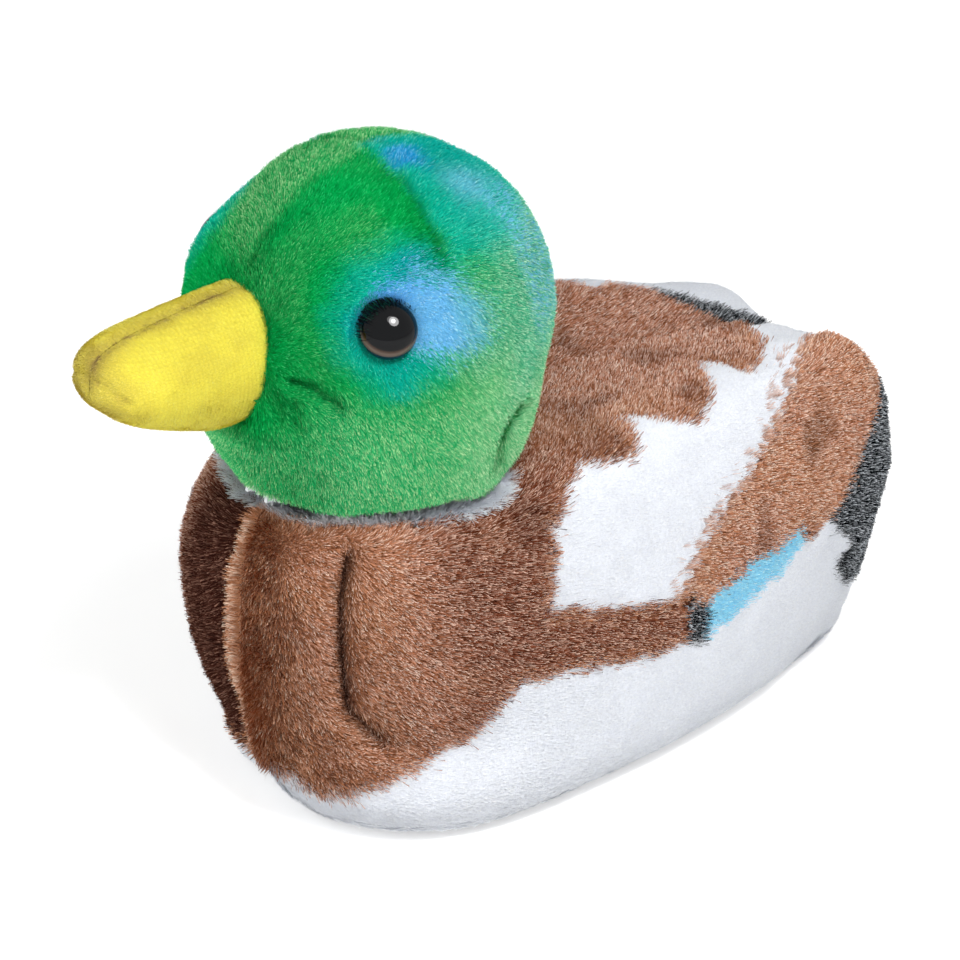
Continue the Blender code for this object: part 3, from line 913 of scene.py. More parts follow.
class PileMill:
    """Cuts strands into blades, some tapered and some blunt, and gathers them into mesh pieces."""

    BLUNT = 0.55

    def __init__(self, cut: PileCut, finish: bpy.types.Material, seed: int) -> None:
        """Set up for one cloth."""
        self.cut = cut
        self.finish = finish
        self.rng = np.random.default_rng(seed)

    def blades(self, strands: Strands) -> tuple[Rows, Rows]:
        """Lean each strand over in its combing.

        Args:
            strands: Where they stand and how they are combed.

        Returns:
            The tips, and the direction across each blade.
        """
        cut, rng = self.cut, self.rng
        count = len(strands.roots)
        drift = patch_noise(strands.roots, 4.0 * MM, 11) * 0.7
        drift = drift + patch_noise(strands.roots, 1.4 * MM, 12) * 0.6
        turn = cut.ruffle * (drift + rng.normal(0.0, 0.6, count))
        upright = (strands.combed * strands.normals).sum(axis=1)[:, None]
        along = unit(strands.combed - strands.normals * upright)
        beside = np.cross(strands.normals, along)
        combed = along * np.cos(turn)[:, None] + beside * np.sin(turn)[:, None]
        lean = cut.lean + rng.normal(0.0, 0.15, count) + patch_noise(strands.roots, 1.8 * MM, 13) * 0.14
        pale, spark = strands.pale(), strands.spark()
        lean = np.minimum(lean + 0.45 * pale, 1.5) - 0.3 * spark
        length = cut.length * strands.scale * rng.uniform(0.65, 1.1, count) * (1.0 - 0.12 * spark)
        course = strands.normals * np.cos(lean)[:, None] + combed * np.sin(lean)[:, None]
        tuft = cut.tuft * (1.0 - 0.7 * pale)
        gathered = noise_rows(strands.roots, 1.1 * MM, 21) * tuft[:, None]
        tips = strands.roots + course * length[:, None] + gathered
        roll = rng.normal(0.0, 0.45, count) * (1.0 - 0.8 * pale)
        flat = unit(np.cross(course, strands.normals))
        across = flat * np.cos(roll)[:, None] + np.cross(flat, course) * np.sin(roll)[:, None]
        return tips, unit(across)

    def piece(self, name: str, strands: Strands) -> bpy.types.Object:
        """Make the mesh of a patch of pile.

        Args:
            name: The piece's name.
            strands: The strands in it.

        Returns:
            The object, not yet dressed.
        """
        tips, across = self.blades(strands)
        count = len(tips)
        spark = strands.spark()
        half = self.cut.width / 2 * self.rng.uniform(0.7, 1.2, count) * (1.0 - 0.3 * spark)
        half = half[:, None] * across
        blunt = ((self.rng.random(count) < self.BLUNT) | (spark > 0.5))[:, None]
        first = np.where(blunt, strands.roots, strands.roots - half)
        second = np.where(blunt, tips - half * 0.75, strands.roots + half)
        third = np.where(blunt, tips + half * 0.75, tips)
        places = np.stack([first, second, third], axis=1)
        places[:, :, 2] = np.maximum(places[:, :, 2], 0.00004)
        corners = np.arange(count * 3).reshape(-1, 3)
        face = np.cross(places[:, 1] - places[:, 0], places[:, 2] - places[:, 0])
        turned = (face * strands.normals).sum(axis=1) < 0
        corners[turned] = corners[turned][:, ::-1]
        face = unit(np.where(turned[:, None], -face, face))
        low, tip = strands.colours[:, 0], strands.colours[:, 1]
        pale = low.mean(axis=1)
        turn = (0.38 - 0.36 * ease(0.2, 0.85, pale))[:, None]
        shading = np.repeat(unit(strands.normals * (1.0 - turn) + face * turn)[:, None], 3, axis=1)
        # Painted shade: the root end is darkened, to about half for dark pile, where the pile shades its own
        # roots.
        low = low * (0.50 + 0.48 * pale)[:, None]
        dye = np.clip(np.stack([low, np.where(blunt, tip, low), tip], axis=1) * 1.06, 0.0, 0.97)
        return self.mesh(name, places.reshape(-1, 3), corners, shading.reshape(-1, 3), dye.reshape(-1, 3))

    def mesh(
        self, name: str, places: Rows, corners: np.ndarray, normals: Rows, dye: Rows
    ) -> bpy.types.Object:
        """Turn rows of places, triangles, normals and dyes into an object."""
        mesh = bpy.data.meshes.new(name)
        mesh.vertices.add(len(places))
        mesh.vertices.foreach_set("co", places.ravel())
        mesh.loops.add(corners.size)
        mesh.loops.foreach_set("vertex_index", corners.ravel())
        mesh.polygons.add(len(corners))
        mesh.polygons.foreach_set("loop_start", np.arange(len(corners)) * 3)
        mesh.polygons.foreach_set("use_smooth", np.ones(len(corners), bool))
        mesh.update(calc_edges=True)
        colour = mesh.attributes.new("dye", "FLOAT_COLOR", "POINT")
        colour.data.foreach_set("color", np.concatenate([dye, np.ones((len(dye), 1))], axis=1).ravel())
        mesh.normals_split_custom_set_from_vertices(normals.tolist())
        item = bpy.data.objects.new(name, mesh)
        bpy.context.scene.collection.objects.link(item)
        return item


def paint_backing(item: bpy.types.Object, colours: np.ndarray) -> None:
    """Store the dye at each vertex of a skin, darkened as painted shade where the pile above it is dark, down
    to half.
    """
    colours = colours * (0.5 + 0.5 * ease(0.3, 0.85, colours.mean(axis=1)))[:, None]
    colour = item.data.attributes.new("dye", "FLOAT_COLOR", "POINT")
    colour.data.foreach_set("color", np.concatenate([colours, np.ones((len(colours), 1))], axis=1).ravel())


class FormProbe:
    """Tells how deep points lie inside a closed form."""

    def __init__(self, item: bpy.types.Object) -> None:
        """Read the form's faces, its box and the smooth normal at the middle of each face."""
        faces = [tuple(p.vertices) for p in item.data.polygons]
        self.tree = BVHTree.FromPolygons([v.co for v in item.data.vertices], faces)
        places, normals = mesh_places(item), mesh_normals(item)
        self.low, self.high = places.min(axis=0), places.max(axis=0)
        self.normals = unit(np.array([normals[list(face)].mean(axis=0) for face in faces]))

    def nearest(self, points: Rows) -> tuple[Rows, Rows]:
        """The form's nearest place to each point, and the normal there."""
        found = [self.tree.find_nearest(point) for point in points.tolist()]
        places = np.array([tuple(place) for place, _, _, _ in found]).reshape(-1, 3)
        return places, self.normals[[face for _, _, face, _ in found]]

    def depth(self, points: Rows) -> np.ndarray:
        """How deep each point lies inside, in metres, and below 0 outside the form."""
        places, normals = self.nearest(points)
        gap = points - places
        boxed = ((points > self.low) & (points < self.high)).all(axis=1)
        inside = boxed & ((gap * normals).sum(axis=1) < 0)
        return np.linalg.norm(gap, axis=1) * np.where(inside, 1.0, -1.0)


@dataclass
class EyeSeat:
    """Where a packed eye stands: the middle of its rim and the way it looks."""

    place: Vector
    axis: Vector

    @classmethod
    def of(cls, side: Side, turn: float, tilt: float, height: float) -> "EyeSeat":
        """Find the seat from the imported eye's furthest point along its axis.

        Args:
            side: Which eye.
            turn: Angle of its axis from straight ahead, in radians.
            tilt: Angle of its axis above level, in radians.
            height: Height of its dome in metres.

        Returns:
            The seat.
        """
        level = math.cos(tilt)
        aim = Vector((side.value * math.sin(turn) * level, -math.cos(turn) * level, math.sin(tilt)))
        node = frame["nodes"][f"eye_{side.word}"]
        places = np.array([tuple(v.co) for v in node.data.vertices])
        shank_end = places[(places @ np.array(aim)).argsort()[:20]].mean(axis=0)
        top = places[(places @ np.array(aim)).argmax()]
        axis = (Vector(top) - Vector(shank_end)).normalized()
        top = places[(places @ np.array(axis)).argmax()]
        return cls(Vector(top) - axis * height, axis)


# The duck's sub-assemblies


@dataclass
class Body:
    """The two body sides and the base, with their print and pile."""

    axis_height: float = 0.025
    base_seam: float = 0.0032
    seam_gap: float = 0.0003
    backing: float = 0.0012
    cut: PileCut = PileCut(0.0016, 0.00014, 46.0e6, 0.9, 0.38, 0.00014)
    base_cut: PileCut = PileCut(0.0026, 0.00026, 14.0e6, 1.45, 0.5, 0.0002)

    # Printed outlines: places along the body (y) and turns up round its axis in degrees
    WING = (
        (-3, 46), (-9, 37), (-8.5, 32), (-10, 26), (-11, 16), (-5.5, 14), (0, 11), (12, 5), (14, 6),
        (18.5, 16), (24, 25), (29, 31), (33, 34.5), (36.5, 40.5), (41, 45.5), (45, 51), (53, 64),
        (56, 78), (57, 90), (50, 90), (48, 84), (47, 76), (45.5, 69), (42, 62), (36.5, 58), (35, 65),
        (32.5, 70.5), (30, 62), (27, 54), (22, 48.5), (16.5, 53), (11, 58.5), (11, 52), (9.5, 46.5),
        (4.5, 47), (1, 49.5),
    )  # fmt: skip
    REAR_WING = (
        (14, 6), (18.5, 16), (24, 25), (29, 31), (33, 34.5), (36.5, 40.5), (41, 45.5), (45, 51),
        (52, 61), (60, 60), (75, 58), (75, -10), (46, 8), (38, 10.5), (26, 6.5), (17, 2), (13, 2),
    )  # fmt: skip
    # Printed outlines: places along the body (y) and heights (z) in millimetres
    BELLY = (
        (-60, 10), (-45, 10), (-41.5, 9.2), (-39, 7.8), (-35.5, 11), (-28, 16.5), (-24, 18.2),
        (-23, 19.8), (-16.5, 25), (-12.5, 24.7), (-4, 23.9), (9, 22), (13, 22), (16.5, 21.3),
        (28, 23.7), (39, 27.7), (46, 29.8), (80, 29.8),
    )  # fmt: skip
    MIRROR_BAR = ((13, 21.5), (17, 21), (17, 27), (13, 27.5))
    MIRROR = ((16.8, 21), (28.3, 23.5), (39.3, 27.7), (37.8, 30.4), (26.3, 28.7), (16.8, 26.2))
    RUMP = (
        (63, 42), (60, 40), (57, 37.5), (53.5, 34.6), (51.5, 32.5), (48.5, 30.3), (46, 29.8),
        (46, 28.8), (48.6, 25.8), (52, 22.5), (54, 20.2), (54.5, 19.6), (49.5, 18), (55, 12.7),
        (80, 8), (80, 44),
    )  # fmt: skip
    TAIL_CURL = (
        (43, 64), (47, 67.5), (50, 73), (53, 79), (57, 83), (56, 90), (49, 90), (47, 81), (44.5, 71),
    )  # fmt: skip
    CENTRE_FRONT = ((0, -41.5, 5), (0, -44.5, 18), (0, -45, 33), (0, -43, 46))
    FRONT_SEEN = ((-1.0, -41.5, 5), (-2.2, -44.5, 18), (-2.4, -45, 33), (-1.2, -43, 46))
    CENTRE_BACK = ((0, -36, 49), (0, 0, 54.5), (0, 30, 54), (0, 50, 50))
    CENTRE_TAIL = ((0, 52, 50), (0, 64, 34), (0, 62, 14))
    CHEST_DART = (
        (16.2, -37.6, 47), (16.6, -39.4, 41), (16.8, -39.6, 31.7), (17.0, -38.8, 22), (20.6, -35.8, 17),
    )
    DART_BED = sunk(CHEST_DART, (0, -8, 31), 1.9)

    def held(self, points: Rows) -> np.ndarray:
        """How firmly the seams hold each point against the filling, from 0 to 1."""
        centre = ease(4.0 * MM, 1.0 * MM, np.abs(points[:, 0])) * (points[:, 2] > 6.0 * MM)
        base = ease(7.0 * MM, 3.5 * MM, points[:, 2])
        return np.clip(np.maximum(centre * 0.9, base), 0.0, 1.0)

    def form(self) -> SewnForm:
        """The closed form under the body's pile."""
        creases = (
            Crease(self.CENTRE_FRONT, 1.3 * MM, 0.8 * MM),
            Crease(self.CENTRE_BACK, 1.6 * MM, 0.6 * MM),
            Crease(self.CENTRE_TAIL, 2.0 * MM, 1.2 * MM),
            Crease(self.CHEST_DART, 1.6 * MM, 1.5 * MM),
        )
        nodes = ("body_left_panel", "body_right_panel", "base_panel", "body_filling")
        return SewnForm(
            "body_form", nodes, 1.8 * MM, 0.75 * MM, 1.0 * MM, creases, self.held, 0.35 * MM, self.sway
        )

    def sway(self, points: Rows) -> Rows:
        """Move the skin to where the stuffing has pressed it.

        Args:
            points: Places on the plumped form.

        Returns:
            The places with the breast seam drawn to the right, the right breast drawn in below, the lower
            belly filled out in front, the rear drawn in low down and the right of the back raised.
        """
        across, along, height = (points / MM).T
        shift = np.zeros_like(points)
        front = ease(-30.0, -40.0, along) * ease(4.0, 16.0, height) * ease(50.0, 38.0, height)
        shift[:, 0] = -2.1 * front * np.exp(-((across / 6.0) ** 2))
        heights = (0, 6, 12, 16.5, 20.5, 24, 36, 44, 50)
        tuck = np.interp(height, heights, (0.2, 1.8, 2.7, 1.4, 0.2, -0.6, -0.9, 0.6, 2.2))
        tuck = tuck * ease(5.0, -5.0, across) * ease(-15.0, -32.0, along)
        shift[:, :2] += tuck[:, None] * (0.63, 0.78)
        level = points - np.array((0.0, 11.5 * MM, 0.0))
        level[:, 2] = 0.0
        facing = np.degrees(np.arctan2(across, 11.5 - along))
        low = ease(0.05, 1.6, height) * ease(18.0, 7.0, height)
        push = low * (0.3 + 3.6 * np.exp(-(((facing - 33.0) / 20.0) ** 2)))
        push -= 1.2 * ease(35.0, 50.0, along) * ease(30.0, 20.0, height) * ease(1.0, 6.0, height)
        push += 0.8 * ease(42.0, 58.0, along) * ease(14.0, 24.0, height)
        right = 3.4 * ease(50.0, 28.0, along) * ease(-12.0, 10.0, along) * ease(-3.0, -12.0, across)
        shift[:, 2] += right * ease(38.0, 50.0, height)
        left = 1.2 * ease(40.0, 50.0, along) * ease(-3.0, 4.0, across) * ease(22.0, 12.0, across)
        shift[:, 2] += left * ease(36.0, 46.0, height)
        return points + (shift + unit(level) * push[:, None]) * MM

    def comb(self, roots: Rows, normals: Rows) -> Rows:
        """Direction that the pile is combed in: back along the body and out from the breast seam."""
        side = np.where(roots[:, 0] < 0, -1.0, 1.0)
        front = ease(0.15, 0.8, -normals[:, 1])
        rear = ease(0.35, 0.9, normals[:, 1])
        top = ease(0.5, 0.95, normals[:, 2])
        high = ease(20.0 * MM, 48.0 * MM, roots[:, 2])
        across = side * (front * 1.1 - top * 0.42 * (1.0 - front))
        upward = -0.55 * front * high + 0.12 * front * (1.0 - high) - rear * 0.9
        return np.stack([across, 1.0 - 0.4 * rear, upward], axis=1)

    def marks(self, points: Rows, shift: Rows) -> tuple[np.ndarray, np.ndarray, np.ndarray]:
        """Where points fall on the printed pattern.

        Args:
            points: Places in metres.
            shift: A drift in metres added to each, which softens the print's edges.

        Returns:
            Places along the body and heights in millimetres, and turns round its axis in degrees.
        """
        moved = folded(points) + shift
        turn = np.degrees(np.arctan2(moved[:, 2] - self.axis_height, np.maximum(moved[:, 0], 0.0)))
        return moved[:, 1] / MM, moved[:, 2] / MM, turn

    def white(self, points: Rows, shift: Rows) -> np.ndarray:
        """Which roots stand in the white of the belly or the wing."""
        along, height, turn = self.marks(points, shift)
        belly = height < np.interp(along, *np.array(self.BELLY).T)
        wing = inside_outline(along, turn, self.WING)
        tail = (along > 52) & (turn > 64)
        return belly | wing | tail

    def dyes(self, points: Rows, rng: np.random.Generator) -> Print:
        """The printed pattern at each root, with painted shade on the far breast, along the breast seam and
        in the chest dart, and painted light on the near breast.
        """
        count = len(points)
        wave = noise_rows(points, 2.2 * MM, 41) * 0.7 * MM
        near = wave + rng.normal(0.0, 0.6 * MM, (count, 3))
        along, height, turn = self.marks(points, near)
        belly_line = np.interp(along, *np.array(self.BELLY).T)
        blown = rng.normal(0.0, 1.0 * MM, (count, 3)) * ease(46.0, 20.0, turn)[:, None]
        loose = near + blown * (along > 10)[:, None]
        cloth = Print(count, BROWN)
        cloth.lay(BACK_BROWN, ease(35.0, 62.0, turn) * ease(-12.0, 8.0, along) * 0.8)
        clouds = ease(0.1, 0.7, patch_noise(points, 6.5 * MM, 46))
        cloth.lay(DEEP_BROWN_AND_SHADE, clouds * ease(25.0, 45.0, turn) * 0.4)
        cloth.lay(RUST, ease(0.15, 0.7, patch_noise(points, 9.0 * MM, 43)) * 0.3)
        cloth.lay(RUST, self.white(points, near + rng.normal(0.0, 1.4 * MM, (count, 3))) * 0.75)
        cloth.lay(WHITE, self.white(points, near))
        ridge = np.interp(along, (16, 20, 26, 38, 48, 56, 60), (0, 54, 61, 65, 67, 73, 90))
        far_top = (points[:, 0] < -3.0 * MM) & (turn > 40) & (turn < ridge)
        cloth.lay(WHITE, far_top)
        above = height > belly_line - 0.3
        near_side = points[:, 0] > 0
        for reach, level, share in ((6.0, 0.42, 0.55), (3.5, 0.2, 0.75), (1.5, -0.1, 0.9)):
            band = inside_outline(along + reach, turn, self.REAR_WING) & above
            band = band & (turn < np.where(near_side, 62, 40)) & (along > 12)
            cloth.lay(RUST, band * share * (patch_noise(points, 0.8 * MM, 45) > level))
        rear_along, _, rear_turn = self.marks(points, loose)
        rear = inside_outline(rear_along, rear_turn, self.REAR_WING) & above & (near_side | (turn < 40))
        cloth.lay(BACK_BROWN, rear)
        speckled = rear * (0.25 + 0.5 * (rng.random(count) < 0.4))
        cloth.lay(RUST, speckled * ease(1.0, -0.4, patch_noise(points, 8.0 * MM, 44)))
        cloth.lay(DEEP_BROWN_AND_SHADE, rear * ease(0.2, 0.8, patch_noise(points, 6.0 * MM, 47)) * 0.4)
        cloth.lay(SPECULUM, inside_outline(along, height, self.MIRROR))
        cloth.lay(CHARCOAL, inside_outline(along, height, self.MIRROR_BAR))
        cloth.lay(CHARCOAL, inside_outline(along, height, self.RUMP))
        cloth.lay(CHARCOAL, inside_outline(along, turn, self.TAIL_CURL) & (points[:, 0] < 0))
        brown = cloth.rows[:, 0, 0] < 0.5
        seam = line_distance(points, self.FRONT_SEEN)
        levels, places = np.array([(z, x) for x, _, z in self.FRONT_SEEN]).T * MM
        away = points[:, 0] < np.interp(points[:, 2], levels, places)
        # Painted light: the near breast is laid lighter in back brown and rust, most of all beside the seam.
        cloth.lay(BACK_BROWN, ease(-20.0, -34.0, along) * ~away * brown)
        painted_light = 0.45 + 0.3 * patch_noise(points, 5.0 * MM, 48)
        cloth.lay(RUST, ease(-24.0, -38.0, along) * ~away * brown * painted_light)
        cloth.lay(RUST, 0.4 * ease(18.0 * MM, 5.0 * MM, seam) * ~away * brown)
        # Painted shade: the far breast darkens towards the seam, and a thin dark line runs along the seam on
        # the near side.
        shaded = 0.95 * ease(16.0 * MM, 6.0 * MM, seam)
        seam_shade = 0.6 * ease(0.7 * MM, 0.2 * MM, seam)
        cloth.lay(DEEP_BROWN_AND_SHADE, np.where(away, shaded, seam_shade) * brown)
        # Painted shade in the chest dart.
        dart_shade = 0.95 * by_line(points, self.DART_BED, 1.4 * MM)
        cloth.lay(DEEP_BROWN_AND_SHADE, dart_shade * brown)
        return cloth

    def build(self, finishes: Finishes, head: FormProbe, shell: bpy.types.Object) -> None:
        """Cut the form into its skins and set their pile.

        Args:
            finishes: Materials by name.
            head: The head's form, which hides the neck.
            shell: The body's closed form.
        """
        half = self.seam_gap / 2
        for side in Side:
            skin = self.skin(shell, f"body_{side.word}_skin", side, head)
            strands = self.strands(skin, side, head)
            along = strands.roots[:, 1]
            mill = PileMill(self.cut, finishes["body_pile"], 100 + int(side.value))
            parts = (
                ("front", along < -10.0 * MM),
                ("middle", (along >= -10.0 * MM) & (along < 25.0 * MM)),
                ("rear", along >= 25.0 * MM),
            )
            for word, keep in parts:
                pile = mill.piece(f"body_{side.word}_{word}_pile", strands.chosen(keep))
                finish_piece(pile, finishes["body_pile"])
            self.close(skin, finishes["body_backing"], "body_pile", (f"body_{side.word}_panel",))
        base = copied(shell, "base_skin")
        trimmed(base, (0.0, 0.0, self.base_seam - half), (0.0, 0.0, 1.0))
        rng = np.random.default_rng(7)
        roots, normals = Ground.under(base).scatter(self.base_cut.density, rng)
        colours = Print(len(roots), WHITE).strands(roots, rng)
        strands = Strands(roots, normals, self.comb(roots, normals), np.ones(len(roots)), colours)
        pile = PileMill(self.base_cut, finishes["base_pile"], 9).piece("base_pile", strands)
        finish_piece(pile, finishes["base_pile"])
        paint_backing(base, Print(len(base.data.vertices), WHITE).ground())
        self.close(base, finishes["base_backing"], "base_pile", ("base_panel",))

    def collar(self, points: Rows, head: FormProbe) -> tuple[np.ndarray, np.ndarray, Rows]:
        """The white ring round the neck.

        Args:
            points: Places on the body's skin.
            head: The head's form, which the ring lies along.

        Returns:
            How deep each point lies in the head, which points the ring covers, and the way
            out from the neck at each.
        """
        high = points[:, 2] > 42.0 * MM
        deep = np.full(len(points), -1.0)
        deep[high] = head.depth(points[high])
        outward = (points - np.array((0.0, -0.0203, 0.0))) * (1.0, 1.0, 0.0)
        turn = np.degrees(np.arctan2(np.abs(outward[:, 0]), -outward[:, 1]))
        turns = (0, 25, 40, 55, 70, 85, 96, 109, 120, 130)
        reach = np.interp(turn, turns, (17.9, 18.9, 19.4, 20.1, 20.7, 20.9, 22.0, 23.3, 22.4, 0.0))
        reach = reach * (1.0 + 0.03 * patch_noise(points, 1.6 * MM, 49)) * MM
        return deep, high & (np.linalg.norm(outward, axis=1) < reach), unit(outward)

    def skin(self, shell: bpy.types.Object, name: str, side: Side, head: FormProbe) -> bpy.types.Object:
        """One side's open skin, cut from the form at the centre and base seams."""
        item = copied(shell, name)
        half = self.seam_gap / 2
        trimmed(item, (side.value * half, 0.0, 0.0), (-side.value, 0.0, 0.0))
        trimmed(item, (0.0, 0.0, self.base_seam + half), (0.0, 0.0, -1.0))
        places = mesh_places(item)
        cloth = self.dyes(places, np.random.default_rng(5))
        cloth.lay(WHITE, self.collar(places, head)[1])
        paint_backing(item, cloth.ground())
        return item

    def strands(self, skin: bpy.types.Object, side: Side, head: FormProbe) -> Strands:
        """The side's strands, without those under the head."""
        rng = np.random.default_rng(200 + int(side.value))
        roots, normals = Ground.under(skin).scatter(self.cut.density, rng)
        deep, ring, outward = self.collar(roots, head)
        keep = deep < np.where(ring, 2.0, 0.6) * MM
        roots, normals, deep, ring, outward = (rows[keep] for rows in (roots, normals, deep, ring, outward))
        scale = 1.0 - 0.25 * ease(6.0 * MM, 1.0 * MM, roots[:, 2])
        scale = scale * (1.0 - 0.5 * ease(-5.0 * MM, -2.5 * MM, deep))
        scale = scale * (1.25 - 0.35 * ease(-20.0 * MM, 8.0 * MM, roots[:, 1]))
        scale = scale * (1.0 - 0.6 * by_line(roots, self.DART_BED, 1.3 * MM))
        cloth = self.dyes(roots, rng)
        cloth.lay(WHITE, ring)
        colours = cloth.strands(roots, rng)
        scale = scale * (1.0 - 0.4 * ease(0.5, 0.85, colours[:, 0].mean(axis=1)))
        scale = np.where(ring, 1.7, scale)
        normals = np.where(ring[:, None], unit(normals - outward * 0.6), normals)
        spread = outward + noise_rows(roots, 1.2 * MM, 50) * 0.5
        combed = np.where(ring[:, None], spread, self.comb(roots, normals))
        return Strands(roots, normals, combed, scale, colours)

    def close(
        self, skin: bpy.types.Object, finish: bpy.types.Material, slot: str, nodes: tuple[str, ...]
    ) -> None:
        """Give a skin its thickness and dress it."""
        modify(skin, "SOLIDIFY", thickness=self.backing, offset=-1.0)
        finish_piece(skin, finish, nodes)


def copied(item: bpy.types.Object, name: str) -> bpy.types.Object:
    """A copy with its own mesh."""
    other = bpy.data.objects.new(name, item.data.copy())
    other.data.name = name
    bpy.context.scene.collection.objects.link(other)
    return other


@dataclass
class Head:
    """The two head sides with their green and blue pile, the white neck ring and the parting at the eyes."""

    middle: Triple = (0.0, -0.0203, 0.0705)
    seam_gap: float = 0.0003
    backing: float = 0.0012
    ring: float = 0.0024
    eye_reach: float = 0.0041
    cut: PileCut = PileCut(0.00135, 0.000105, 76.0e6, 1.0, 0.34, 0.00014)

    # Outline of the light patch behind the eye: turns from straight ahead and above level, in degrees
    PATCH = (
        (52, 33), (55, 36.5), (60, 39), (68, 42), (76, 42), (84, 39), (91, 34), (96.5, 28), (99, 22),
        (96, 18), (88, 16), (78, 16), (70, 16), (66, 20), (60, 26), (56, 31),
    )  # fmt: skip
    # Soft spots of dye: middle, radius of full cover and of none in millimetres, dye and cover
    BLOOMS = (
        ((4.8, -17.4, 98.2), 1.5, 5.0, AZURE, 0.95), ((12.0, -12.0, 95.5), 1.0, 6.5, SKY, 0.5),
        ((20.5, -30.5, 83.0), 6.0, 13.0, TEAL, 0.9), ((19.6, -27.0, 87.5), 2.5, 6.5, AQUA, 0.6),
        ((24.5, -20.0, 80.5), 5.0, 9.0, NAPE_GREEN, 0.6), ((22.6, -31.5, 76.4), 2.5, 4.5, TEAL, 0.8),
        ((17.8, -34.6, 82.0), 1.5, 4.0, AQUA, 0.7),
    )  # fmt: skip
    DART = ((3.4, -18.2, 98.4), (8, -20, 97.5), (12.6, -21, 95.7), (16.6, -21.6, 92.8), (19.3, -22, 90.2))
    DART_BED = sunk(DART, HEAD_HEART, 1.3)
    CHEEK = (
        (12.2, -43.3, 73.9), (13.7, -42.4, 73.7), (15.4, -41.5, 73.3),
        (16.6, -40.8, 72.3), (18.0, -39.8, 71.3),
    )
    CHEEK_BED = sunk(CHEEK, HEAD_HEART, 1.9)
    DENTS = (((10.4, -44.9, 71.6), (11.2, -44.6, 68.6)), ((12.7, -43.8, 70.9), (13.5, -43.4, 67.6)))

    def held(self, points: Rows) -> np.ndarray:
        """How firmly the seams hold each point against the filling, from 0 to 1."""
        centre = ease(3.5 * MM, 1.0 * MM, np.abs(points[:, 0])) * (points[:, 2] > 75.0 * MM)
        neck = ease(56.0 * MM, 52.0 * MM, points[:, 2])
        return np.maximum(centre * 0.9, neck)

    def form(self) -> SewnForm:
        """The closed form under the head's pile."""
        crown = (
            (0, -42, 85), (0, -38, 90.5), (0, -28, 97.5), (0, -18, 98.7), (0, -5, 94), (0, 4, 84), (0, 6, 70),
        )
        creases = (
            Crease(crown, 1.3 * MM, 0.3 * MM),
            Crease(self.DART, 1.2 * MM, 0.9 * MM),
            Crease(self.CHEEK, 1.0 * MM, 1.6 * MM),
            *(Crease(dent, 0.9 * MM, 0.7 * MM) for dent in self.DENTS),
        )
        nodes = ("head_left_panel", "head_right_panel", "head_filling")
        return SewnForm(
            "head_form", nodes, 1.7 * MM, 0.75 * MM, 1.0 * MM, creases,
            self.held, 0.2 * MM, self.settle, self.low_back,
        )

    def over(self, body: FormProbe, points: Rows) -> np.ndarray:
        """How far each point lies outside the body, whose own top is below 55 mm at the neck."""
        above = -body.depth(points)
        return np.where(points[:, 2] > 55.0 * MM, np.abs(above), above)

    def low_back(self, points: Rows) -> np.ndarray:
        """Where the head is rubbed smooth: low at the back of the cheeks."""
        turn, _ = self.bearing(points)
        return ease(80.0, 98.0, turn) * ease(68.0 * MM, 62.0 * MM, points[:, 2])

    def settle(self, points: Rows) -> Rows:
        """Set the crown, throat, nape and cheeks, sink the right eye and lay the rim on the back."""
        turn, rise = self.bearing(points)
        away = unit(points - np.array(self.middle))
        away[:, 2] *= ease(50.0 * MM, 60.0 * MM, points[:, 2])
        far = ease(2.0 * MM, -10.0 * MM, points[:, 0])
        drawn = 1.2 * ease(15.0, 42.0, rise) * ease(68.0, 46.0, rise) * far - 0.3 * ease(20.0, 50.0, rise)
        drawn *= 1.0 - np.exp(-(np.hypot(turn - 61.0, rise - 26.0) / 20.0) ** 2)
        drawn -= 1.6 * far * np.exp(-(np.hypot(turn - 48.0, rise - 28.0) / 14.0) ** 2)
        drawn -= 1.2 * np.exp(-((turn - 154.0) / 26.0) ** 2 - ((rise - 16.0) / 24.0) ** 2)
        drawn -= 0.8 * np.exp(-((turn - 20.0) / 14.0) ** 2 - ((rise - 5.0) / 24.0) ** 2)
        throat = 2.1 * ease(-14.0, -30.0, rise) * ease(48.0, 20.0, turn)
        drawn += throat + 1.1 * ease(10.0, -12.0, rise) * ease(92.0, 112.0, turn)
        places = points - away * (drawn * MM)[:, None]
        drop = 2.5 * MM * ease(64.0 * MM, 56.0 * MM, points[:, 2]) * ease(84.0, 104.0, turn)
        places[:, 2] -= drop * (1.0 - 0.5 * ease(120.0, 145.0, turn))
        return places

    def bearing(self, points: Rows) -> tuple[np.ndarray, np.ndarray]:
        """Turn from straight ahead and angle above level of each point, in degrees round the middle."""
        gap = folded(points) - np.array(self.middle)
        turn = np.degrees(np.arctan2(gap[:, 0], -gap[:, 1]))
        return turn, np.degrees(np.arctan2(gap[:, 2], np.hypot(gap[:, 0], gap[:, 1])))

    def comb(self, roots: Rows, normals: Rows, seats: list[EyeSeat]) -> Rows:
        """The way the pile is combed: back over the crown, down the cheeks, away from the eyes."""
        side = np.where(roots[:, 0] < 0, -1.0, 1.0)
        turn, rise = self.bearing(roots)
        crown = ease(22.0, 55.0, rise)
        front = ease(0.3, 0.9, -normals[:, 1])
        down = -(1.0 - crown) * (0.35 + 0.65 * ease(35.0, 75.0, turn))
        combed = np.stack([side * front * 0.3, 0.55 + 0.45 * crown, down], axis=1)
        gap = roots - np.array((0.0, -0.047, 0.075))
        around = ease(24.0 * MM, 9.0 * MM, np.linalg.norm(gap, axis=1))[:, None]
        combed = combed * (1.0 - around) + unit(gap) * 1.4 * around
        for seat in seats:
            gap = roots - np.array(seat.place)
            away = gap - (gap @ np.array(seat.axis))[:, None] * np.array(seat.axis)
            share = np.exp(-(((np.linalg.norm(away, axis=1) - self.eye_reach) / (2.2 * MM)) ** 2))[:, None]
            combed = unit(combed) * (1.0 - share * 0.8) + unit(away) * share * 0.8
        return combed

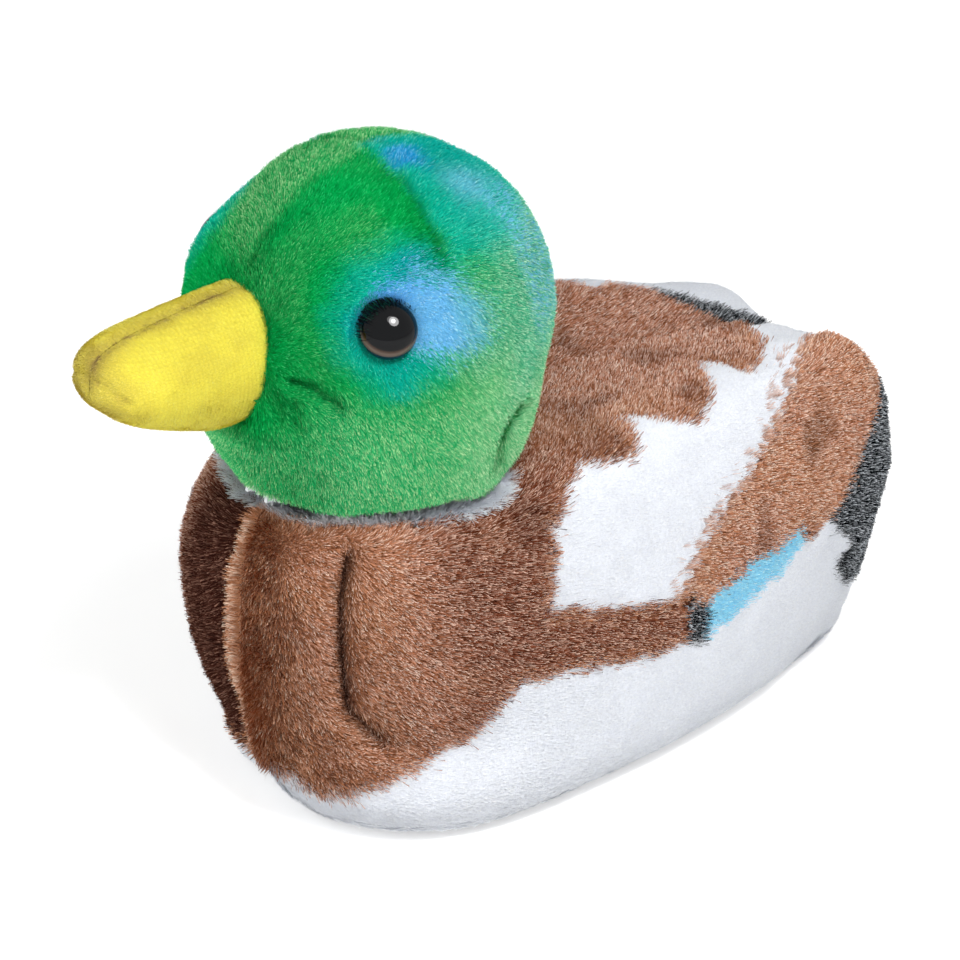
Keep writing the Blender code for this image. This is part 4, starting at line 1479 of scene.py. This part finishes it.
    def dyes(self, points: Rows, above_body: np.ndarray, rng: np.random.Generator) -> Print:
        """The head's colours at each root, with painted sheen on the far crown and painted shade in its dart,
        cheek crease and dents.
        """
        count = len(points)
        drift = noise_rows(points, 2.5 * MM, 51) * 0.9 * MM + rng.normal(0.0, 0.45 * MM, (count, 3))
        turn, rise = self.bearing(points + drift)
        place = folded(points + drift)
        printed = 1.0 - ease(0.0, -3.0 * MM, points[:, 0]) * ease(56.0, 66.0, rise)
        cloth = Print(count, GREEN)
        cloth.lay(CROWN_GREEN, ease(0.3, -0.6, patch_noise(points, 6.0 * MM, 52)) * 0.35)
        # Painted sheen: the far side of the crown is laid lighter.
        cloth.lay(CROWN_GREEN, ease(2.0 * MM, -1.5 * MM, points[:, 0]) * ease(30.0, 50.0, rise) * 0.85)
        cloth.lay(CHEEK_GREEN, ease(12.0, -8.0, rise) * ease(20.0, 48.0, turn) * 0.9)
        cloth.lay(CHEEK_GREEN, ease(-6.0, -20.0, rise) * 0.6)
        cloth.lay(PALE_GREEN, ease(72.0, 100.0, turn) * ease(30.0, 6.0, rise) * 0.75)
        nape = ease(92.0, 112.0, turn) * ease(70.0, 50.0, rise) * ease(-25.0, 10.0, rise)
        cloth.lay(NAPE_GREEN, nape * 0.9)
        behind = ease(-22.2 * MM, -19.8 * MM, place[:, 1])
        cloth.lay(TEAL, behind * printed * ease(34.0, 46.0, rise) * 0.8)
        cloth.lay(AQUA, ease(-20.0 * MM, -15.0 * MM, place[:, 1]) * printed * ease(42.0, 58.0, rise) * 0.35)
        for spot, inner, outer, dye, share in self.BLOOMS:
            reach = np.linalg.norm(place - np.array(spot) * MM, axis=1)
            cover = share * ease(outer * MM, inner * MM, reach)
            cloth.lay(dye, cover * (behind * printed if spot[2] > 95 else 1.0))
        rim = ease(114.0, 124.0, turn) * ease(160.0, 145.0, turn)
        rim = rim * ease(0.0, 18.0, rise) * ease(62.0, 45.0, rise)
        cloth.lay(SKY, rim * (rng.random(count) < 0.45) * 0.8)
        # Painted shade in the dart and beside it in front, in the cheek crease and in the dents.
        cloth.lay(DEEP_GREEN_SHADE, 0.9 * by_line(points, self.DART_BED, 0.8 * MM) * (rise < 74))
        front = place[:, 1] < -21.5 * MM
        beside = ease(6.5 * MM, 1.0 * MM, line_distance(folded(points), self.DART))
        cloth.lay(DEEP_GREEN_SHADE, 0.4 * front * beside)
        cloth.lay(DEEP_GREEN_SHADE, 0.95 * by_line(points, self.CHEEK_BED, 1.0 * MM))
        for dent in self.DENTS:
            cloth.lay(DEEP_GREEN_SHADE, 0.6 * by_line(points, sunk(dent, HEAD_HEART, 1.2), 0.9 * MM))
        soft = rng.normal(0.0, 2.5, (2, count))
        patch = inside_outline(turn + soft[0], rise + soft[1], self.PATCH)
        cloth.lay(SKY, patch * (0.45 + 0.5 * ease(97.0, 78.0, turn)))
        eye_side = ease(74.0, 62.0, turn) * ease(20.0, 26.0, rise)
        cloth.lay(PERIWINKLE, patch * (0.25 + 0.6 * eye_side) * ease(92.0, 80.0, turn))
        halo = above_body + rng.normal(0.0, 0.2 * MM, count) + patch_noise(points, 2.0 * MM, 61) * 0.35 * MM
        halo = halo - 1.7 * MM * ease(34.0, 8.0, turn)
        cloth.lay(HALO_GREEN, ease(self.ring + 1.1 * MM, self.ring + 0.3 * MM, halo) * 0.8)
        cloth.lay(WHITE, halo < self.ring)
        return cloth

    def lashes(self, seat: EyeSeat, rng: np.random.Generator) -> tuple[Rows, np.ndarray, Rows, Rows]:
        """Dark pile that hangs over the upper edge of an eye.

        Args:
            seat: Where the eye stands.
            rng: Source of the strands' differences.

        Returns:
            Places, triangles, normals and dyes of the strands.
        """
        count = 260
        axis = np.array(seat.axis)
        level = unit(np.cross((0.0, 0.0, 1.0), axis)[None])[0]
        level = level if level[1] < 0 else -level
        rise = np.cross(axis, level) if np.cross(axis, level)[2] > 0 else np.cross(level, axis)
        angle = rng.normal(0.45, 0.5, count)
        radial = np.cos(angle)[:, None] * rise + np.sin(angle)[:, None] * level
        roots = np.array(seat.place) + radial * rng.uniform(4.1, 4.7, count)[:, None] * MM + axis * 0.7 * MM
        inward = rng.uniform(0.5, 1.3, count)[:, None] * MM
        tips = roots - radial * inward + axis * rng.uniform(1.6, 2.5, count)[:, None] * MM
        tips = tips + (level * rng.normal(-0.25, 0.3, count)[:, None] - rise * 0.2) * MM
        half = unit(np.cross(tips - roots, axis)) * 0.00005
        places = np.stack([roots - half, roots + half, tips], axis=1).reshape(-1, 3)
        normals = np.repeat(unit(radial * 0.5 + axis), 3, axis=0)
        shades = np.array([linear(code) for code in ("#0A0F12", "#10202A", "#0E4A3A")])
        dye = np.repeat(shades[rng.choice(3, count, p=(0.6, 0.25, 0.15))], 3, axis=0)
        return places, np.arange(count * 3).reshape(-1, 3), normals, dye

    def build(
        self,
        finishes: Finishes,
        body: FormProbe,
        bill: FormProbe,
        seats: list[EyeSeat],
        shell: bpy.types.Object,
    ) -> None:
        """Cut the form into its two skins and set their pile.

        Args:
            finishes: Materials by name.
            body: The body's form, which the neck ring lies along.
            bill: The bill's form, which covers part of the face.
            seats: Where the eyes stand.
            shell: The head's closed form.
        """
        half = self.seam_gap / 2
        for side in Side:
            skin = copied(shell, f"head_{side.word}_skin")
            trimmed(skin, (side.value * half, 0.0, 0.0), (-side.value, 0.0, 0.0))
            rng = np.random.default_rng(300 + int(side.value))
            roots, normals = Ground.under(skin).scatter(self.cut.density, rng)
            above = self.over(body, roots)
            keep = (above > -0.6 * MM) & (bill.depth(roots) < 0.5 * MM)
            scale = np.ones(len(roots))
            for seat in seats:
                gap = roots - np.array(seat.place)
                axis = np.array(seat.axis)
                reach = np.linalg.norm(gap - (gap @ axis)[:, None] * axis, axis=1)
                near = np.linalg.norm(gap, axis=1) < 9.0 * MM
                keep &= ~(near & (reach < self.eye_reach - 0.3 * MM))
                shorn = 0.45 + 0.55 * ease(0.0, 3.5 * MM, reach - self.eye_reach)
                scale = np.where(near, np.minimum(scale, shorn), scale)
            roots, normals, above, scale = roots[keep], normals[keep], above[keep], scale[keep]
            combed = self.comb(roots, normals, seats)
            scale = scale * (1.0 - 0.6 * by_line(roots, self.CHEEK_BED, 1.1 * MM))
            turn = self.bearing(roots)[0]
            low = self.ring + 1.5 * MM * ease(34.0, 8.0, turn)
            ring = (ease(0.5 * MM, -1.0 * MM, above - low) * ease(106.0, 92.0, turn))[:, None]
            outward = unit(normals * np.array((1.0, 1.0, 0.0)))
            combed = unit(combed) * (1.0 - ring) + (outward * 1.1 + np.array((0.0, 0.0, -0.55))) * ring
            colours = self.dyes(roots, above, rng).strands(roots, rng)
            strands = Strands(roots, normals, combed, scale, colours)
            mill = PileMill(self.cut, finishes["head_pile"], 400 + int(side.value))
            seat = seats[list(Side).index(side)]
            lashes = mill.mesh(f"head_{side.word}_lashes", *self.lashes(seat, rng))
            finish_piece(lashes, finishes["head_pile"])
            back = strands.roots[:, 1] > -24.0 * MM
            for word, part in (("face", ~back), ("nape", back)):
                pile = mill.piece(f"head_{side.word}_{word}_pile", strands.chosen(part))
                finish_piece(pile, finishes["head_pile"])
            places = mesh_places(skin)
            paint_backing(skin, self.dyes(places, self.over(body, places), rng).ground())
            modify(skin, "SOLIDIFY", thickness=self.backing, offset=-1.0)
            finish_piece(skin, finishes["head_backing"], (f"head_{side.word}_panel",))


@dataclass
class Bill:
    """The two bill sides in short yellow pile, puckered where they meet the face."""

    seam_gap: float = 0.0003
    backing: float = 0.0010
    cut: PileCut = PileCut(0.00042, 0.00008, 60.0e6, 0.7, 1.2, 0.00005)

    def held(self, points: Rows) -> np.ndarray:
        """How firmly the seam holds each point against the filling, from 0 to 1."""
        return ease(2.5 * MM, 0.8 * MM, np.abs(points[:, 0])) * 0.9

    def form(self) -> SewnForm:
        """The closed form under the bill's pile."""
        tip_fold = ((0.7, -67.3, 78.1), (3.6, -67.1, 77.4), (5.0, -66.8, 76.6), (7.0, -65.4, 75.2))
        creases = (
            Crease(((0, -47.5, 84), (0, -58, 82.5), (0, -65, 80.5), (0, -68, 76)), 0.8 * MM, 0.22 * MM),
            Crease(((0, -66, 71), (0, -56, 68.5), (0, -46, 65)), 0.9 * MM, 0.4 * MM),
            Crease(tip_fold, 0.7 * MM, 0.4 * MM),
        )
        nodes = ("bill_left_panel", "bill_right_panel", "bill_filling")
        return SewnForm(
            "bill_form", nodes, 0.9 * MM, 0.15 * MM, 0.5 * MM, creases,
            self.held, 0.0, self.root, self.root_end,
        )

    def root_end(self, points: Rows) -> np.ndarray:
        """Where the bill is rubbed smooth: at the rim that goes into the face."""
        return ease(-51.0 * MM, -47.5 * MM, points[:, 1])

    def root(self, points: Rows) -> Rows:
        """Push the root end back into the face, under the green pile, and raise the ridge."""
        moved = points.copy()
        moved[:, 2] += 0.6 * MM * ease(76.0 * MM, 82.0 * MM, points[:, 2])
        ridge = np.interp(points[:, 1] / MM, (-56.0, -50.0, -47.0, -44.0), (99.0, 83.6, 83.7, 83.0)) * MM
        moved[:, 2] = np.where(moved[:, 2] > ridge, ridge + (moved[:, 2] - ridge) * 0.15, moved[:, 2])
        moved[:, 1] += 4.0 * MM * ease(-50.0 * MM, -45.5 * MM, points[:, 1])
        return moved

    def dyes(self, points: Rows) -> Print:
        """Clean yellow, dustier on the ridge and the tip."""
        cloth = Print(len(points), YELLOW)
        ridge = ease(3.0 * MM, 0.5 * MM, np.abs(points[:, 0])) * ease(74.0 * MM, 79.0 * MM, points[:, 2])
        tip = ease(-62.0 * MM, -68.0 * MM, points[:, 1])
        soil = np.clip(ridge * 0.4 + tip * 0.5 + patch_noise(points, 2.5 * MM, 71) * 0.15, 0.0, 0.8)
        cloth.lay(DUSTY_YELLOW, soil)
        line = (
            (0, -44.9, 83.7), (0.2, -52, 82.8), (0.2, -62, 81.4), (0, -66.5, 79.5),
            (0.7, -67.3, 78.1), (5, -66.8, 76.6), (7, -65.4, 75.2),
        )
        worn = ease(1.1 * MM, 0.2 * MM, line_distance(points, line))
        worn = worn * (patch_noise(points, 0.6 * MM, 72) > 0.1)
        cloth.lay(WORN_YELLOW, worn * 0.6)
        return cloth

    def build(self, finishes: Finishes, head: FormProbe, shell: bpy.types.Object) -> None:
        """Cut the form into its two skins and set their short pile.

        Args:
            finishes: Materials by name.
            head: The head's form, which the root of the bill goes into.
            shell: The bill's closed form.
        """
        half = self.seam_gap / 2
        for side in Side:
            skin = copied(shell, f"bill_{side.word}_skin")
            trimmed(skin, (side.value * half, 0.0, 0.0), (-side.value, 0.0, 0.0))
            rng = np.random.default_rng(500 + int(side.value))
            roots, normals = Ground.under(skin).scatter(self.cut.density, rng)
            keep = head.depth(roots) < 0.4 * MM
            roots, normals = roots[keep], normals[keep]
            colours = self.dyes(roots).strands(roots, rng)
            combed = np.repeat(np.array([[0.0, -1.0, -0.25]]), len(roots), axis=0)
            strands = Strands(roots, normals, combed, np.ones(len(roots)), colours)
            mill = PileMill(self.cut, finishes["bill_pile"], 600 + int(side.value))
            finish_piece(mill.piece(f"bill_{side.word}_pile", strands), finishes["bill_pile"])
            paint_backing(skin, self.dyes(mesh_places(skin)).ground())
            modify(skin, "SOLIDIFY", thickness=self.backing, offset=-1.0)
            finish_piece(skin, finishes["bill_backing"], (f"bill_{side.word}_panel",))


@dataclass
class SafetyEyes:
    """Domed plastic eyes on ribbed shanks, and the washers that lock them behind the skin."""

    width: float = 0.008
    height: float = 0.0034
    rim: float = 0.0007
    turn: float = math.radians(61.5)
    tilt: float = math.radians(25.0)
    shank_width: float = 0.0026
    shank_length: float = 0.009

    def seats(self) -> list[EyeSeat]:
        """Where the two eyes stand."""
        return [EyeSeat.of(side, self.turn, self.tilt, self.height) for side in Side]

    def build(self, seats: list[EyeSeat], washer: bpy.types.Material) -> None:
        """Model both eyes and give the washers their finish.

        Args:
            seats: Where the eyes stand.
            washer: The washers' material.
        """
        for side, seat in zip(Side, seats):
            item = self.eye(f"eye_{side.word}_dome")
            item.rotation_euler = seat.axis.to_track_quat("Z", "Y").to_euler()
            item.location = seat.place
            select_only(item)
            bpy.ops.object.transform_apply(location=True, rotation=True, scale=True)
            apex = seat.place + seat.axis * self.height
            lift = Vector((0.0, 0.0, 1.0)) - seat.axis * seat.axis.z
            drop = lift.normalized() * 0.0016
            finish = EyeFinish(f"eye_{side.word}_plastic", tuple(apex), tuple(drop), 0.0045, 0.0064).make()
            finish_piece(item, finish, (f"eye_{side.word}",))
            node = frame["nodes"][f"eye_{side.word}_washer"]
            node.data.materials.clear()
            node.data.materials.append(washer)

    def eye(self, name: str) -> bpy.types.Object:
        """One eye standing on the origin: dome, rim and ribbed shank in one shell."""
        select_none()
        bpy.ops.mesh.primitive_circle_add(vertices=64, radius=self.width / 2, location=(0.0, 0.0, self.rim))
        item = bpy.context.object
        item.name = item.data.name = name
        bpy.ops.object.transform_apply(location=True)
        bpy.ops.object.mode_set(mode="EDIT")
        bpy.ops.mesh.select_all(action="SELECT")
        dome, rings, radius, level = self.height - self.rim, 14, self.width / 2, self.rim
        for k in range(1, rings):
            angle = math.pi / 2 * k / rings
            reach, rise = self.width / 2 * math.cos(angle), self.rim + dome * math.sin(angle)
            ring_out(reach / radius, rise - level)
            radius, level = reach, rise
        bpy.ops.mesh.extrude_edges_move(TRANSFORM_OT_translate={"value": (0.0, 0.0, self.height - level)})
        bpy.ops.mesh.merge(type="CENTER")
        bpy.ops.mesh.select_all(action="DESELECT")
        bpy.ops.object.mode_set(mode="OBJECT")
        select_ring(item, self.rim)
        bpy.ops.object.mode_set(mode="EDIT")
        level, radius = self.rim, self.width / 2
        core, steps = self.shank_width / 2, []
        steps += [(radius * 0.985, self.rim * 0.5), (radius * 0.93, 0.0)]
        steps += [(core + 0.0003, 0.0), (core, -0.0003)]
        pitch = self.shank_length / 5
        for k in range(1, 5):
            steps += [(core, -pitch * k + 0.0003), (core + 0.0003, -pitch * k), (core, -pitch * k - 0.0004)]
        steps += [(core, -self.shank_length + 0.0003), (core * 0.75, -self.shank_length)]
        for reach, rise in steps:
            ring_out(reach / radius, rise - level)
            radius, level = reach, rise
        bpy.ops.mesh.extrude_edges_move()
        bpy.ops.mesh.merge(type="CENTER")
        bpy.ops.mesh.select_all(action="SELECT")
        bpy.ops.mesh.normals_make_consistent(inside=False)
        bpy.ops.object.mode_set(mode="OBJECT")
        bpy.ops.object.shade_smooth_by_angle(angle=math.radians(50))
        return item


def select_none() -> None:
    """Deselect everything before a new primitive."""
    if bpy.context.object and bpy.context.object.mode != "OBJECT":
        bpy.ops.object.mode_set(mode="OBJECT")
    bpy.ops.object.select_all(action="DESELECT")


def ring_out(share: float, rise: float) -> None:
    """Extrude the selected ring of edges, scale it about the Z axis by a share and lift it."""
    bpy.ops.mesh.extrude_edges_move(TRANSFORM_OT_translate={"value": (0.0, 0.0, rise)})
    bpy.ops.transform.resize(value=(share, share, 1.0), center_override=(0.0, 0.0, 0.0))


def select_ring(item: bpy.types.Object, level: float) -> None:
    """Select the edges of an object whose two ends lie at one height."""
    places = mesh_places(item)
    for edge in item.data.edges:
        edge.select = all(abs(places[v][2] - level) < 1e-7 for v in edge.vertices)
    for vertex in item.data.vertices:
        vertex.select = abs(vertex.co.z - level) < 1e-7
    bpy.context.tool_settings.mesh_select_mode = (False, True, False)


@dataclass
class Stuffing:
    """The loose fibre in body, head and bill, and the bean pouch in the body."""

    lump: float = 0.0005
    pellet: float = 0.0016

    def build(self, finishes: Finishes) -> None:
        """Model the fillings, the pouch and its pellets.

        Args:
            finishes: Materials by name.
        """
        for part in ("body", "head", "bill"):
            self.wad(part, finishes["wadding"])
        for face in ("top", "bottom"):
            self.pouch_sheet(face, finishes["pouch_cloth"])
        self.pellets(finishes["pellets"])

    def wad(self, part: str, finish: bpy.types.Material) -> None:
        """One wad of fibre: the filling's own form, drawn in a little and lumpy."""
        item = merged_copy(f"{part}_filling", f"{part}_wadding")
        modify(item, "REMESH", mode="VOXEL", voxel_size=1.2 * MM)
        keep_outer_shell(item)
        modify(item, "SMOOTH", factor=0.5, iterations=2)
        places, normals = mesh_places(item), mesh_normals(item)
        lumps = patch_noise(places, 5.0 * MM, 81) + 0.5 * patch_noise(places, 2.0 * MM, 82)
        drawn = self.lump * (lumps - 1.6)
        move_vertices(item, places + normals * drawn[:, None])
        select_only(item)
        bpy.ops.object.shade_smooth()
        finish_piece(item, finish, (f"{part}_filling",))

    def pouch_sheet(self, face: str, finish: bpy.types.Material) -> None:
        """One face of the pouch with puckers along its seam."""
        node = f"bean_pouch_{face}"
        item = merged_copy(node, f"{node}_cloth")
        modify(item, "SUBSURF", levels=1, render_levels=1, subdivision_type="SIMPLE")
        places, normals = mesh_places(item), mesh_normals(item)
        low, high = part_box(node)
        middle = (np.array(low) + np.array(high)) / 2
        wide = (places[:, 0] - middle[0]) / (high.x - low.x)
        deep = (places[:, 1] - middle[1]) / (high.y - low.y)
        reach = np.hypot(wide, deep) * 2
        turn = np.arctan2(places[:, 0] - middle[0], places[:, 1] - middle[1])
        pucker = np.sin(turn * 46) * ease(0.7, 0.98, reach) * 0.00008
        move_vertices(item, places + normals * pucker[:, None])
        select_only(item)
        bpy.ops.object.shade_smooth_by_angle(angle=math.radians(60))
        finish_piece(item, finish, (node,))

    def pellets(self, finish: bpy.types.Material) -> None:
        """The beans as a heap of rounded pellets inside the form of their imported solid."""
        probe = FormProbe(merged := merged_copy("beans", "bean_heap"))
        low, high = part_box("beans")
        rng = np.random.default_rng(17)
        pitch = self.pellet * 2.02
        centres = []
        for level, up in enumerate(np.arange(low.z + self.pellet, high.z, pitch * 0.82)):
            shift = pitch / 2 * (level % 2)
            for x in np.arange(low.x + shift, high.x, pitch):
                for y in np.arange(low.y + shift, high.y, pitch):
                    centres.append((x, y, up))
        centres = np.array(centres)
        centres = centres[probe.depth(centres) > self.pellet * 0.95]
        bpy.data.objects.remove(merged, do_unlink=True)
        select_none()
        bpy.ops.mesh.primitive_ico_sphere_add(subdivisions=2, radius=self.pellet)
        model = bpy.context.object
        bpy.ops.object.mode_set(mode="EDIT")
        bpy.ops.mesh.select_all(action="SELECT")
        bpy.ops.transform.resize(value=(1.0, 0.86, 0.8), center_override=(0.0, 0.0, 0.0))
        bpy.ops.object.mode_set(mode="OBJECT")
        shape = mesh_places(model)
        model.data.calc_loop_triangles()
        corners = np.array([tuple(t.vertices) for t in model.data.loop_triangles])
        bpy.data.objects.remove(model, do_unlink=True)
        places, faces = [], []
        for k, centre in enumerate(centres):
            angle, tip = rng.uniform(0, math.tau), rng.uniform(-0.5, 0.5)
            cosine, sine = math.cos(angle), math.sin(angle)
            spin = np.array(((cosine, -sine, 0), (sine, cosine, 0), (0, 0, 1)))
            nod = np.array(((1, 0, 0), (0, math.cos(tip), -math.sin(tip)), (0, math.sin(tip), math.cos(tip))))
            places.append(shape @ (spin @ nod).T * rng.uniform(0.92, 1.0) + centre)
            faces.append(corners + k * len(shape))
        mesh = bpy.data.meshes.new("bean_pellets")
        mesh.from_pydata(np.concatenate(places).tolist(), [], np.concatenate(faces).tolist())
        mesh.update()
        item = bpy.data.objects.new("bean_pellets", mesh)
        bpy.context.scene.collection.objects.link(item)
        select_only(item)
        bpy.ops.object.shade_smooth()
        finish_piece(item, finish, ("beans",))


# Studio


@dataclass
class Studio:
    """A white sweep, soft lamps and the camera at the photograph's angle."""

    azimuth: float = math.radians(51.0)
    elevation: float = math.radians(28.0)
    distance: float = 0.700
    lens: float = 179.8
    target: Triple = (0.0, 0.0006, 0.0393)

    def direction(self, azimuth: float, elevation: float) -> Vector:
        """From the duck towards a viewer at these angles."""
        level = math.cos(elevation)
        return Vector((math.sin(azimuth) * level, -math.cos(azimuth) * level, math.sin(elevation)))

    def camera(self) -> None:
        """Place the camera."""
        data = bpy.data.cameras.new("camera")
        data.lens = self.lens
        data.sensor_width = 36.0
        data.clip_start = 0.02
        data.clip_end = 20.0
        item = bpy.data.objects.new("camera", data)
        towards = self.direction(self.azimuth, self.elevation)
        item.location = Vector(self.target) + towards * self.distance
        item.rotation_euler = towards.to_track_quat("Z", "Y").to_euler()
        bpy.context.scene.collection.objects.link(item)
        bpy.context.scene.camera = item

    def lamp(
        self, name: str, azimuth: float, elevation: float, distance: float, size: float, power: float,
        lights: bool = True, shines: bool = True,
    ) -> None:  # fmt: skip
        """Place a round soft lamp that looks at the duck.

        Args:
            name: The lamp's name.
            azimuth: Where it stands round the duck, in degrees.
            elevation: How high it stands, in degrees.
            distance: How far it stands, in metres.
            size: Its width in metres.
            power: Its power in watts.
            lights: Whether it lights cloth and pile.
            shines: Whether the polished eyes mirror it.
        """
        data = bpy.data.lights.new(name, "AREA")
        data.shape = "DISK"
        data.size = size
        data.energy = power
        item = bpy.data.objects.new(name, data)
        item.visible_diffuse, item.visible_glossy = lights, shines
        towards = self.direction(math.radians(azimuth), math.radians(elevation))
        item.location = Vector(self.target) + towards * distance
        item.rotation_euler = towards.to_track_quat("Z", "Y").to_euler()
        bpy.context.scene.collection.objects.link(item)

    def floor(self) -> None:
        """Lay the white sweep."""
        select_none()
        bpy.ops.mesh.primitive_plane_add(size=8.0, location=(0.0, 0.0, 0.0))
        item = bpy.context.object
        item.name = "floor"
        item.data.materials.append(FloorFinish("floor_white").make())

    def world(self) -> None:
        """White to the camera, and a soft even light to everything else."""
        bench = WorldBench("studio_world")
        level = bench.add("ShaderNodeMapRange", {"To Min": 0.5, "To Max": 1.0})
        bench.wire(seen_ray(bench), level.inputs["Value"])
        bench.shader.inputs["Color"].default_value = (1.0, 1.0, 1.0, 1.0)
        bench.wire(level.outputs["Result"], bench.shader.inputs["Strength"])

    def build(self) -> None:
        """Set up floor, world, lamps and camera."""
        bpy.context.scene.view_settings.view_transform = "Standard"
        self.camera()
        self.floor()
        self.world()
        self.lamp("key_softbox", 80.0, 54.0, 1.1, 0.40, 3.0)
        self.lamp("key_core", 80.0, 54.0, 1.1, 0.15, 4.8)
        self.lamp("front_fill", 14.0, 28.0, 1.4, 1.9, 10.8, shines=False)
        self.lamp("low_fill", 48.0, 6.0, 1.3, 1.0, 2.6, shines=False)
        self.lamp("catch_light", 88.0, 47.0, 1.1, 0.5, 16.0, lights=False)
        self.lamp("catch_core", 86.0, 48.0, 1.0, 0.2, 6.0, lights=False)


def main() -> None:
    """Build the duck and its studio."""
    logging.basicConfig(level=logging.INFO, format="%(name)s %(message)s")
    Studio().build()
    finishes = {
        "body_pile": PileFinish("body_pile_fibre").make(),
        "base_pile": PileFinish("base_pile_fibre").make(),
        "head_pile": PileFinish("head_pile_fibre").make(),
        "bill_pile": PileFinish("bill_pile_fibre", roughness=0.8, sheen=0.1).make(),
        "body_backing": BackingFinish("body_backing_knit").make(),
        "base_backing": BackingFinish("base_backing_knit").make(),
        "head_backing": BackingFinish("head_backing_knit").make(),
        "bill_backing": FineKnitFinish("bill_fine_knit").make(),
        "wadding": WaddingFinish("polyester_wadding").make(),
        "pouch_cloth": PouchClothFinish("pouch_cotton").make(),
        "pellets": PlasticFinish("pellet_plastic", "#B9BEC4", "#D8DCE0", 300.0).make(),
    }
    eyes = SafetyEyes()
    seats = eyes.seats()
    body, head, bill = Body(), Head(), Bill()
    shells = {part.name: part.build() for part in (body.form(), head.form(), bill.form())}
    probes = {name: FormProbe(shell) for name, shell in shells.items()}
    body.build(finishes, probes["head_form"], shells["body_form"])
    head.build(finishes, probes["body_form"], probes["bill_form"], seats, shells["head_form"])
    bill.build(finishes, probes["head_form"], shells["bill_form"])
    eyes.build(seats, PlasticFinish("washer_plastic", "#D9D8D2", "#EDECE8", 400.0).make())
    Stuffing().build(finishes)
    for shell in shells.values():
        bpy.data.objects.remove(shell, do_unlink=True)


if __name__ == "__main__":
    main()
